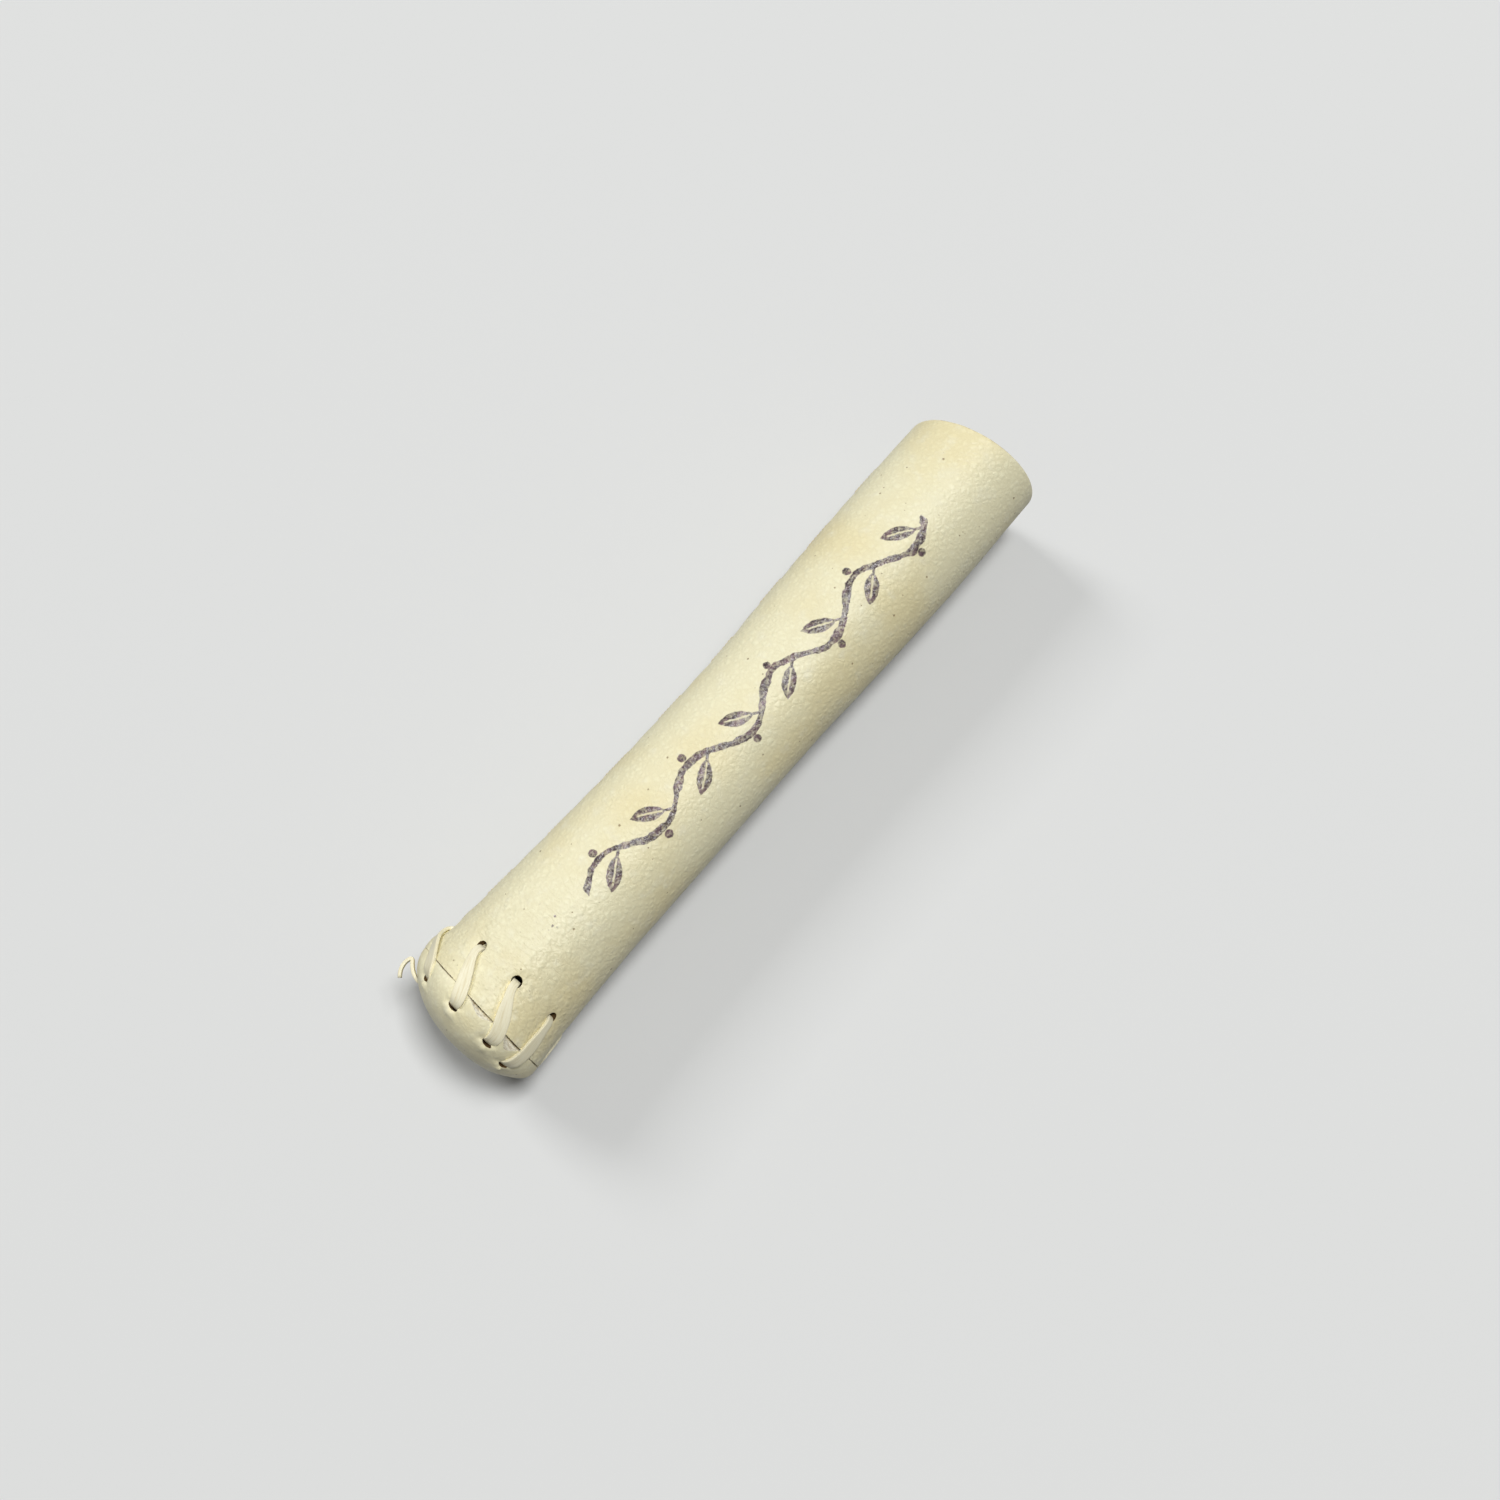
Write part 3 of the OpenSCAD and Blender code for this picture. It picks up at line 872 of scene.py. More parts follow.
def smoothed(points, rounds):
    """A row of points with its small kinks drawn out. The two ends stay."""
    for _ in range(rounds):
        points = [points[0]] + [
            (a + b * 2 + c) / 4 for a, b, c in zip(points, points[1:], points[2:])
        ] + [points[-1]]
    return points


def headings(points):
    """Direction of a row of points at each of them."""
    last = len(points) - 1
    return [(points[min(i + 1, last)] - points[max(i - 1, 0)]).normalized() for i in range(last + 1)]


def distances(points):
    """Distance of each point along the row."""
    found = [0.0]
    for a, b in zip(points, points[1:]):
        found.append(found[-1] + (b - a).length)
    return found


def strand_sides(way, phi):
    """Directions across a strand: round the axis at an angle, and away from it."""
    round_way = Vector((0, -math.cos(phi), -math.sin(phi)))
    side = (round_way - way * round_way.dot(way)).normalized()
    return side, way.cross(side)


def add_piece(name, bm, materials, node):
    """Makes an object of a finished mesh, on the body and in the place of its CAD node."""
    mesh = bpy.data.meshes.new(name)
    bm.to_mesh(mesh)
    bm.free()
    for material in materials:
        mesh.materials.append(material)
    piece = bpy.data.objects.new(name, mesh)
    bpy.context.scene.collection.objects.link(piece)
    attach(piece, BODY)
    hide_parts(node)
    return piece


# Materials

class Nodes:
    """Short calls that build a tree of shader nodes."""

    def __init__(self, tree):
        self.tree = tree

    def feed(self, socket, value):
        """Links a socket to an output, or sets its value."""
        if isinstance(value, bpy.types.NodeSocket):
            self.tree.links.new(value, socket)
        else:
            socket.default_value = value

    def add(self, kind, values, **settings):
        """A new node with its settings and inputs."""
        node = self.tree.nodes.new("ShaderNode" + kind)
        for name, value in settings.items():
            setattr(node, name, value)
        for name, value in values.items():
            self.feed(node.inputs[name], value)
        return node

    def cut_place(self):
        """Place on the flat leather in millimetres."""
        uv = self.add("UVMap", {}, uv_map=UV_MAP).outputs["UV"]
        return self.vector("MULTIPLY", uv, (UV_SPAN, UV_SPAN, UV_SPAN))

    def object_place(self):
        """Place on the object in millimetres."""
        at = self.add("TexCoord", {}).outputs["Object"]
        return self.vector("MULTIPLY", at, (1 / MM, 1 / MM, 1 / MM))

    def vector(self, operation, a, b):
        """A sum or product of two vectors."""
        return self.add("VectorMath", {0: a, 1: b}, operation=operation).outputs["Vector"]

    def math(self, operation, a, b=0.0):
        """One step of arithmetic."""
        return self.add("Math", {0: a, 1: b}, operation=operation).outputs["Value"]

    def total(self, *terms):
        """Sum of values, each times its weight."""
        found = 0.0
        for value, weight in terms:
            step = self.add("Math", {0: value, 1: weight, 2: found}, operation="MULTIPLY_ADD")
            found = step.outputs["Value"]
        return found

    def product(self, first, *others):
        """Values times each other."""
        for value in others:
            first = self.math("MULTIPLY", first, value)
        return first

    def most(self, first, *others):
        """The greatest of some values."""
        for value in others:
            first = self.math("MAXIMUM", first, value)
        return first

    def rest(self, value, weight=1.0):
        """What a value, times its weight, leaves of 1."""
        return self.math("SUBTRACT", 1.0, self.math("MULTIPLY", value, weight))

    def far(self, x, y):
        """Distance of a place on a plane from its middle."""
        return self.math("SQRT", self.total((x, x), (y, y)))

    def split(self, vector):
        """The X, Y and Z of a vector."""
        return self.add("SeparateXYZ", {"Vector": vector}).outputs

    def noise(self, place, scale, detail=2.0, rough=0.5, output="Fac"):
        """Soft noise, scale waves to the millimetre."""
        values = {"Vector": place, "Scale": scale, "Detail": detail, "Roughness": rough}
        return self.add("TexNoise", values).outputs[output]

    def cells(self, place, scale, feature="F1"):
        """Cells, scale of them to the millimetre."""
        node = self.add("TexVoronoi", {"Vector": place, "Scale": scale}, feature=feature)
        if feature == "SMOOTH_F1":
            node.inputs["Smoothness"].default_value = 0.7
        return node.outputs

    def span(self, value, low, high, to_low=0.0, to_high=1.0):
        """A value moved from one range to another with soft ends."""
        values = {
            "Value": value, "From Min": low, "From Max": high, "To Min": to_low, "To Max": to_high
        }
        return self.add("MapRange", values, interpolation_type="SMOOTHSTEP").outputs["Result"]

    def fade(self, value, low, high):
        """1 where a value is below low, and 0 above high."""
        return self.span(value, low, high, 1.0, 0.0)

    def direct_view(self):
        """1 for what the camera sees, also in or through something glossy."""
        path = self.add("LightPath", {}).outputs
        return self.most(path["Is Camera Ray"], path["Is Glossy Ray"], path["Is Transmission Ray"])

    def mix(self, part, a, b):
        """One colour passing into another."""
        node = self.add("Mix", {}, data_type="RGBA")
        self.feed(node.inputs[0], part)
        self.feed(node.inputs[6], a)
        self.feed(node.inputs[7], b)
        return node.outputs[2]

    def wobbled(self, place, scale, size):
        """A place moved about by noise, size millimetres at most to each side."""
        wave = self.noise(place, scale, output="Color")
        shift = self.vector("MULTIPLY", self.vector("SUBTRACT", wave, (0.5, 0.5, 0.5)), (2 * size,) * 3)
        return self.vector("ADD", place, shift)


class Finish(Nodes):
    """A material in the making."""

    def __init__(self, name):
        self.material = bpy.data.materials.new(name)
        self.material.use_nodes = True
        super().__init__(self.material.node_tree)
        self.shader = self.tree.nodes["Principled BSDF"]

    def bump(self, height, strength, depth):
        """Relief of a height, depth millimetres deep, on the shader's normal."""
        values = {"Height": height, "Strength": strength, "Distance": depth * MM}
        node = self.add("Bump", values)
        self.feed(self.shader.inputs["Normal"], node.outputs["Normal"])

    def set(self, **values):
        """Sets inputs of the shader, with spaces written as underscores."""
        for name, value in values.items():
            self.feed(self.shader.inputs[name.replace("_", " ")], value)


def leaf_ink(f, vine, along, level):
    """Share of ink in a veined leaf and its stalk, along the vine and level with the leaf's middle."""
    cos = math.cos(vine.leaf_tilt)
    sin = math.sin(vine.leaf_tilt)
    half_long = vine.leaf_length / 2
    half_wide = vine.leaf_width / 2
    bend = (half_long ** 2 + half_wide ** 2) / (2 * half_wide)
    x = f.total((along, cos), (level, sin))
    rib = f.math("ABSOLUTE", f.total((level, cos), (along, -sin)))
    reach = f.far(x, f.math("ADD", rib, bend - half_wide))
    vein = f.product(f.fade(rib, 0.05, 0.13), f.span(x, -1.3, -0.9))
    leaf = f.product(f.fade(reach, bend - 0.06, bend + 0.06), f.rest(vein, 0.8))
    stalk = f.product(f.fade(rib, 0.09, 0.18), f.span(x, 1.3, 1.5), f.fade(x, 2.5, 2.7))
    return f.most(leaf, stalk)


def vine_ink(f, place, vine):
    """Share of ink, from a running vine with leaves and berries drawn along the leather."""
    hand = f.wobbled(f.wobbled(place, 0.3, 0.22), 3.4, 0.09)
    parts = f.split(hand)
    along = f.math("SUBTRACT", parts["X"], vine.centre[0] - vine.span / 2)
    out = f.math("SUBTRACT", parts["Y"], vine.centre[1])
    wave = f.math("SINE", f.math("MULTIPLY", along, math.pi / vine.half_wave))
    stem_off = f.math("ABSOLUTE", f.total((out, 1.0), (wave, -vine.swing)))
    stem_half = f.span(f.noise(place, 0.6), 0.3, 0.7, vine.stem_thin, vine.stem_thick)
    stem = f.fade(f.math("SUBTRACT", stem_off, stem_half), -0.05, 0.06)
    cell = f.math("SUBTRACT", f.math("FLOORED_MODULO", along, vine.half_wave), vine.half_wave / 2)
    level = f.math("MULTIPLY", out, f.math("SIGN", wave))
    leaf = leaf_ink(f, vine, cell, f.math("SUBTRACT", level, vine.swing - vine.leaf_drop))
    berry_off = f.far(cell, f.math("SUBTRACT", level, vine.swing + vine.berry_rise))
    berry = f.fade(berry_off, vine.berry / 2 - 0.06, vine.berry / 2 + 0.06)
    ends = f.product(f.span(along, 0.0, 0.15), f.fade(along, vine.span - 0.15, vine.span))
    return f.product(f.most(stem, leaf, berry), ends)


def stray_ink(f, place, centre):
    """Share of ink in a few specks round a place."""
    off = f.vector("SUBTRACT", place, (*centre, 0.0))
    far = f.add("VectorMath", {0: off}, operation="LENGTH").outputs["Value"]
    spots = f.cells(f.wobbled(place, 3.0, 0.15), 2.2)
    chosen = f.span(f.split(spots["Color"])["Y"], 0.74, 0.76)
    spot = f.span(spots["Distance"], 0.16, 0.34, 0.9, 0.0)
    return f.product(spot, chosen, f.fade(far, 0.6, 1.7))


def hide_grain(f, place, laced):
    """Relief of the grained side and the share of painted shade in its grooves and creases: pebbles, fine
    grain, creases and lumps.
    """
    pebbles = 1.65
    small_pebbles = 4.8
    bent = f.wobbled(place, 1.0, 0.28)
    edge = f.span(f.cells(bent, pebbles, "DISTANCE_TO_EDGE")["Distance"], 0.0, 0.4)
    pebble = f.rest(f.cells(bent, pebbles, "SMOOTH_F1")["Distance"])
    small = f.rest(f.cells(f.wobbled(place, 3.0, 0.1), small_pebbles, "SMOOTH_F1")["Distance"])
    fine = f.noise(place, 8.0, detail=3.0, rough=0.6)
    stretched = f.vector("MULTIPLY", f.wobbled(place, 0.8, 0.5), (1.9, 0.5, 1.0))
    wave = f.math("SUBTRACT", f.noise(stretched, 0.9), 0.5)
    worked = f.span(f.split(place)["X"], *laced, 1.0, 0.22) if laced else 0.22
    crease = f.product(f.fade(f.math("ABSOLUTE", wave), 0.0, 0.11), worked)
    lumps = f.product(f.noise(f.wobbled(place, 0.6, 0.4), 0.95), worked)
    height = f.total(
        (edge, 0.26), (pebble, 0.5), (small, 0.35), (fine, 0.35), (crease, -0.22), (lumps, 2.2)
    )
    # The second value is painted shade: darker colour along the grooves between pebbles and in the creases
    return height, f.total((f.rest(edge), 0.13), (crease, 0.07))


def hide_specks(f, place):
    """Share of the small brown pores that are scattered over the leather."""
    found = []
    for scale, size, least in ((0.62, 0.1, 0.62), (1.3, 0.13, 0.86)):
        spots = f.cells(place, scale)
        chosen = f.span(f.split(spots["Color"])["X"], least, least + 0.02)
        found.append(f.product(f.fade(spots["Distance"], size * 0.35, size), chosen))
    return f.most(*found)


def hide_finish(name, colours, relief, laced=None, vine=None):
    """Grained outside of the leather, relief millimetres deep.

    laced is the range along it where the lacing's creases fade, and vine its inked ornament.
    """
    f = Finish(name)
    place = f.cut_place()
    height, groove = hide_grain(f, place, laced)
    pore = hide_specks(f, place)
    clouds = f.noise(place, 0.09)
    mottle = f.noise(place, 0.5, detail=3.0, rough=0.6)
    base = f.mix(f.span(clouds, 0.4, 0.68), colours.hide, colours.hide_warm)
    base = f.mix(f.span(mottle, 0.5, 0.78, 0.0, 0.6), base, colours.hide_pale)
    # Painted shade in the grain's grooves and creases
    base = f.mix(groove, base, colours.hide_groove)
    base = f.mix(f.product(pore, 0.8), base, colours.pore)
    height = f.total((height, 1.0), (pore, -0.5))
    rough = f.span(mottle, 0.3, 0.7, 0.4, 0.5)
    if vine:
        worn = f.span(f.noise(place, 2.2, detail=4.0, rough=0.7), 0.34, 0.56, 0.55, 1.0)
        ink = f.most(f.product(vine_ink(f, place, vine), worn), stray_ink(f, place, vine.stray))
        drawn = f.noise(f.vector("MULTIPLY", place, (0.5, 1.0, 1.0)), 1.1, detail=3.0, rough=0.6)
        base = f.mix(ink, base, f.mix(f.span(drawn, 0.42, 0.66), colours.ink, colours.ink_thin))
        rough = f.total((rough, 1.0), (ink, -0.2))
    f.set(Base_Color=base, Roughness=rough, Specular_IOR_Level=0.5)
    f.bump(height, strength=0.85, depth=relief)
    return f.material


def fibre_finish(name, light, dark, scale, depth):
    """Fibrous leather: its suede inside, its cut edge or a hole, with painted shade in the hollows between
    its fibres and darker clouds at random.
    """
    f = Finish(name)
    place = f.object_place()
    tangle = f.noise(f.wobbled(place, 1.6, 0.2), scale, detail=4.0, rough=0.7)
    clouds = f.noise(place, 0.5)
    # Painted shade: the dark colour follows the bump's hollows, and clouds spread it at random
    part = f.math("ADD", f.span(tangle, 0.32, 0.56, 0.1, 0.75), f.span(clouds, 0.35, 0.7, 0.0, 0.25))
    f.set(Base_Color=f.mix(part, dark, light), Roughness=0.92, Specular_IOR_Level=0.2)
    f.bump(tangle, strength=0.8, depth=depth)
    return f.material


def rim_finish(colours, form):
    """The cap's sloping cut edge, with fibres along the joint, and painted shade that greys it away from
    the joint.
    """
    f = Finish("cap_raw_edge")
    place = f.object_place()
    parts = f.split(place)
    slant = math.tan(form.sleeve.joint_slant)
    below = f.math("SUBTRACT", f.total((parts["Y"], slant), (parts["X"], -1.0)), form.grip_centre)
    along = f.vector("MULTIPLY", f.wobbled(place, 1.6, 0.2), (3.2, 0.8, 0.8))
    tangle = f.noise(along, 1.6, detail=4.0, rough=0.7)
    # Painted shade: greyer further below the joint, down the slope of the raw edge
    light = f.mix(f.span(below, 0.45, 1.2), colours.raw, colours.raw_slope_shade)
    # Painted shade: the dark colour follows the bump's hollows between the fibres
    part = f.span(tangle, 0.34, 0.58, 0.15, 1.0)
    f.set(Base_Color=f.mix(part, colours.raw_gap_shade, light), Roughness=0.92, Specular_IOR_Level=0.2)
    f.bump(tangle, strength=0.8, depth=0.08)
    return f.material


def sheet_finishes(piece, colours, grain, edge):
    """Finishes of a leather sheet, in the order that thicken sorts its faces into."""
    suede = fibre_finish(piece + "_suede", colours.suede, colours.suede_gap_shade, scale=3.2, depth=0.09)
    # The holes' walls are painted dark, as painted shade
    holes = fibre_finish(piece + "_holes", colours.hole, colours.hole_gap_shade, scale=4.0, depth=0.06)
    return [grain, suede, edge, holes]


def lace_finish(colours):
    """Flat leather thong with fine lines along it."""
    f = Finish("lace_thong")
    place = f.cut_place()
    lines = f.vector("MULTIPLY", place, (0.35, 0.5, 1.0))
    streak = f.noise(lines, 1.4, detail=3.0, rough=0.6)
    grain = f.noise(f.object_place(), 5.0, detail=3.0, rough=0.6)
    part = f.math("ADD", f.span(streak, 0.42, 0.7, 0.0, 0.7), f.span(grain, 0.5, 0.8, 0.0, 0.25))
    f.set(
        Base_Color=f.mix(part, colours.lace, colours.lace_dark),
        Roughness=f.span(streak, 0.3, 0.7, 0.42, 0.56),
        Specular_IOR_Level=0.5,
    )
    f.bump(f.total((streak, 0.7), (grain, 0.4)), strength=0.5, depth=0.03)
    return f.material


def thread_finish(colours):
    """Waxed twisted thread."""
    f = Finish("waxed_thread")
    place = f.cut_place()
    lines = f.vector("MULTIPLY", place, (1.0, 0.3, 1.0))
    fibres = f.noise(lines, 3.0, detail=3.0, rough=0.6)
    f.set(
        Base_Color=f.mix(f.span(fibres, 0.42, 0.72), colours.thread, colours.thread_dark),
        Roughness=f.span(fibres, 0.3, 0.7, 0.5, 0.66),
        Specular_IOR_Level=0.45,
    )
    f.bump(fibres, strength=0.6, depth=0.02)
    return f.material


# Operators, one for each piece

class COVER_OT_roll_sleeve(bpy.types.Operator):
    """Cut, punch, skive and roll the sleeve"""

    bl_idname = "cover.roll_sleeve"
    bl_label = "Roll the sleeve"

    # Mesh steps of the sheet, round the holes and beside the stitches
    row_length = 0.46
    column_width = 0.33
    stitch_fine = 0.12
    lace_fine = 0.16
    stitch_strip = 0.85
    # Angle of the overlap's under edge that lace holes keep clear of
    under_spare = 0.2
    relief = 0.08
    # Where the creases of the lacing start to fade and end, and where stray ink lies, on the flat sheet
    lace_creases = (5.0, 17.0)
    stray_at = 10.0
    stray_off = 1.0

    def execute(self, context):
        form = Form(context.scene)
        colours = context.scene.cover_finish
        bm = self.flat_sheet(form)

        def outline(p):
            ends = p.x < CUT_EDGE or p.x > form.sleeve.length - CUT_EDGE
            return ends or p.y > -CUT_EDGE or p.y < CUT_EDGE - form.cut_width

        thicken(bm, form.leather, lambda p: p.x > form.sleeve.length - 0.01, outline)
        lay_out_uv(bm)
        form_sheet(bm, form.rolled)
        vine = measures(context.scene.cover_vine)
        vine.centre = on_cut(vine.place, (form.seam.lap_edge - vine.middle) * form.cut_r)
        vine.stray = on_cut(self.stray_at, 0)[0], vine.centre[1] + self.stray_off
        laced = [on_cut(x, 0)[0] for x in self.lace_creases]
        grain = hide_finish("sleeve_grain", colours, self.relief, laced, vine)
        edge = fibre_finish("sleeve_raw_edge", colours.edge, colours.edge_gap_shade, scale=4.0, depth=0.04)
        add_piece("sleeve_hide", bm, sheet_finishes("sleeve", colours, grain, edge), "sleeve")
        return {"FINISHED"}

    def flat_sheet(self, form):
        """The flat blank with its holes, joint at x = 0 and free edge of the overlap at y = 0."""
        bm = bmesh.new()
        rows = round(form.sleeve.length / self.row_length)
        columns = round(form.cut_width / self.column_width)
        bmesh.ops.create_grid(bm, x_segments=rows, y_segments=columns, size=0.5)
        bmesh.ops.translate(bm, verts=bm.verts, vec=(0.5, -0.5, 0))
        bmesh.ops.scale(bm, verts=bm.verts, vec=(form.sleeve.length, form.cut_width, 1))
        layers = (form.stitch_turn, form.stitch_turn + TURN)
        for turn in layers:
            line = -turn * form.cut_r
            near = [
                e for e in bm.edges
                if abs(e.verts[0].co.x - e.verts[1].co.x) < 1e-6
                and all(abs(v.co.y - line) < self.stitch_strip for v in e.verts)
            ]
            bmesh.ops.subdivide_edges(bm, edges=near, cuts=2)
        for turn in layers:
            for k in range(form.stitch_count):
                z = form.stitch_z(k)
                stretch = form.skin(z) / form.cut_r
                punch(bm, form.flat_at(z, turn), form.thread_hole / 2, stretch, self.stitch_fine)
        for i in range(form.lace.count):
            phi = form.lace_phi(i)
            z = form.joint_z(phi) + form.hole_inset(i)
            turn = (phi - form.seam.lap_edge) % TURN
            stretch = form.skin(z) / form.cut_r
            doubled = turn < form.seam.under_span - self.under_spare
            for t in (turn, turn + TURN) if doubled else (turn,):
                punch(bm, form.flat_at(z, t), form.lace_hole / 2, stretch, self.lace_fine)
        return bm


class COVER_OT_mould_cap(bpy.types.Operator):
    """Cut, punch and mould the end cap"""

    bl_idname = "cover.mould_cap"
    bl_label = "Mould the end cap"

    # Mesh steps of the disc and round its slits, and how narrow a slit is as a share of its width
    ring_width = 0.34
    spokes = 140
    slit_fine = 0.16
    slit_share = 0.52
    relief = 0.042

    def execute(self, context):
        form = Form(context.scene)
        colours = context.scene.cover_finish
        bm = self.flat_disc(form)
        rim = form.cap_arc - CUT_EDGE
        thicken(bm, form.leather, lambda p: False, lambda p: math.hypot(p.x, p.y) > rim)
        lay_out_uv(bm)
        form_sheet(bm, form.moulded)
        grain = hide_finish("cap_grain", colours, self.relief)
        finishes = sheet_finishes("cap", colours, grain, rim_finish(colours, form))
        add_piece("end_cap_hide", bm, finishes, "end_cap")
        return {"FINISHED"}

    def flat_disc(self, form):
        """The flat disc with its holes."""
        bm = bmesh.new()
        rings = round(form.cap_arc / self.ring_width)
        tip = bmesh.ops.create_vert(bm, co=(0, 0, 0))["vert"][0]
        for i in range(rings):
            tip = bmesh.ops.extrude_vert_indiv(bm, verts=[tip])["verts"][0]
            bmesh.ops.translate(bm, verts=[tip], vec=(form.cap_arc / rings, 0, 0))
        bmesh.ops.spin(
            bm, geom=bm.verts[:] + bm.edges[:], axis=(0, 0, 1), cent=(0, 0, 0), dvec=(0, 0, 0),
            angle=TURN, steps=self.spokes, use_merge=True, use_duplicate=False,
        )
        bmesh.ops.remove_doubles(bm, verts=bm.verts, dist=1e-5)
        bmesh.ops.recalc_face_normals(bm, faces=bm.faces[:])
        if sum(f.normal.z for f in bm.faces) < 0:
            bmesh.ops.reverse_faces(bm, faces=bm.faces[:])
        for phi, d in form.cap_holes():
            out = form.cap_arc - form.dome_arc(d)
            centre = Vector((out * math.cos(phi), -out * math.sin(phi), 0))
            self.punch_turned(bm, form, centre, phi, d)
        return bm

    def punch_turned(self, bm, form, centre, phi, d):
        """Punches a hole at an angle round the disc."""
        stretch = form.joint_r / (form.cap_arc - form.dome_arc(d))
        turn = Matrix.Rotation(phi, 3, "Z")
        bmesh.ops.rotate(bm, verts=bm.verts, cent=(0, 0, 0), matrix=turn)
        punch(bm, turn @ centre, form.lace_slit / 2, stretch, self.slit_fine, self.slit_share)
        bmesh.ops.rotate(bm, verts=bm.verts, cent=(0, 0, 0), matrix=turn.transposed())


class COVER_OT_lace_joint(bpy.types.Operator):
    """Lace the cap to the sleeve"""

    bl_idname = "cover.lace_joint"
    bl_label = "Lace the joint"

    turn_steps = 14
    run_steps = 12
    # Share by which the width varies, roundness of the lace's sides and faces, and widths of its tail
    unevenness = 0.07
    side_power = 0.32
    face_power = 0.25
    tail_widths = (0.55, 0.7)
    tail_growth = 0.15

    def execute(self, context):
        form = Form(context.scene)
        bm = sweep(self.section(), self.frames(form, self.route(form)))
        add_piece("end_lace_thong", bm, [lace_finish(context.scene.cover_finish)], "end_lace")
        return {"FINISHED"}

    def frames(self, form, marks):
        """Frames along marks of (point, angle, share of the width)."""
        points = smoothed([m[0] for m in marks], 3)
        half_thick = form.lace.thickness / 2
        frames = []
        rows = zip(points, headings(points), distances(points), marks)
        for point, way, far, (_, phi, wide) in rows:
            side, lift = strand_sides(way, phi)
            uneven = 1 + self.unevenness * noise.noise(Vector((far * 0.6, 0, 0)))
            half_width = form.lace.width * wide * uneven / 2
            frames.append((point, side * half_width, lift * half_thick, far))
        return frames

    def section(self):
        """Flat oblong with rounded sides."""
        steps = 24
        found = []
        for i in range(steps):
            a = TURN * (i + 0.5) / steps
            x = math.copysign(abs(math.cos(a)) ** self.side_power, math.cos(a))
            y = math.copysign(abs(math.sin(a)) ** self.face_power, math.sin(a))
            found.append((x, y))
        return found

    def route(self, form):
        """Marks from the tip of the tail to the tucked end."""
        lace = form.lace
        reach = (form.leather + form.lace_lift + form.lace_under) / 2
        tops = [form.hole_inset(i) - reach for i in range(lace.count)]
        lows = [reach - form.cap_inset(i) for i in range(lace.count)]

        def mark(d, phi, side, part=1.0):
            return form.lace_point(d, phi, side), phi, part

        def pinched(t, outside=1.0):
            wide = 1 + (outside - 1) * (1 + math.sin(t)) / 2
            return wide * (1 - lace.pinch * math.cos(t))

        def steps(count):
            return [i / count for i in range(count + 1)]

        def inside(start, end, bottom, height):
            return [
                mark(bottom + (height - bottom) * u, start + (end - start) * u, -1)
                for u in steps(self.run_steps)[1:-1]
            ]

        def stitch(i):
            phi = form.lace_phi(i)
            end = form.cap_phi(i)
            top = tops[i]
            low = lows[i]
            found = []
            for u in steps(self.turn_steps):
                t = -QUARTER + math.pi * u
                part = pinched(t, lace.taper)
                found.append(mark(top + reach * math.cos(t), phi, math.sin(t), part))
            for u in steps(self.run_steps)[1:-1]:
                part = lace.taper + (lace.spread - lace.taper) * ease(u, 0.0, 0.65)
                found.append(mark(top + (low - top) * u, phi + (end - phi) * u, 1, part))
            for u in steps(self.turn_steps):
                t = QUARTER - math.pi * u
                part = pinched(t, lace.spread)
                found.append(mark(low - reach * math.cos(t), end, math.sin(t), part))
            return found

        marks = self.tail(form)
        for u in steps(self.turn_steps // 2)[1:]:
            t = -QUARTER * u
            d = reach * (1 - math.cos(t)) - lace.tail_inset
            marks.append(mark(d, form.tail_phi, math.sin(t), pinched(t)))
        marks += inside(form.tail_phi, form.lace_phi(0), reach - lace.tail_inset, tops[0])
        for i in range(lace.count):
            marks += stitch(i)
            if i < lace.count - 1:
                marks += inside(form.cap_phi(i), form.lace_phi(i + 1), lows[i], tops[i + 1])
        last = form.cap_phi(lace.count - 1)
        marks += inside(last, last - math.radians(2), lows[-1], tops[-1] * 0.45)
        return marks

    def tail(self, form):
        """The free end: from its tip up to a tight bend, and back down to its hole in the cap."""
        lace = form.lace
        outer = form.joint_r + lace.tail_reach
        bend = lace.tail_inset - 0.85
        wall = form.lace_point(-lace.tail_inset, form.tail_phi, 0)
        hole = (wall - form.tilted(-lace.tail_inset, form.tail_phi, 0)).length
        # Corners of two curves: distance from the axis and distance below the joint
        hook = (
            (outer - 0.7, bend + lace.tail_drop), (outer + 0.45, bend + 1.15),
            (outer, bend - 0.4), (outer - 0.3, bend),
        )
        strip = (
            (outer - 0.3, bend), (outer - 0.95, bend + 0.85),
            (hole + 0.9, lace.tail_inset + 0.35), (hole, lace.tail_inset),
        )
        found = []
        for first, (way, wide) in enumerate(zip((hook, strip), self.tail_widths)):
            for j in range(first, self.turn_steps + 1):
                u = j / self.turn_steps
                weights = ((1 - u) ** 3, 3 * u * (1 - u) ** 2, 3 * u * u * (1 - u), u ** 3)
                r = sum(w * corner[0] for w, corner in zip(weights, way))
                d = sum(w * corner[1] for w, corner in zip(weights, way))
                part = wide + self.tail_growth * u
                found.append((form.tilted(-d, form.tail_phi, r), form.tail_phi, part))
        return found


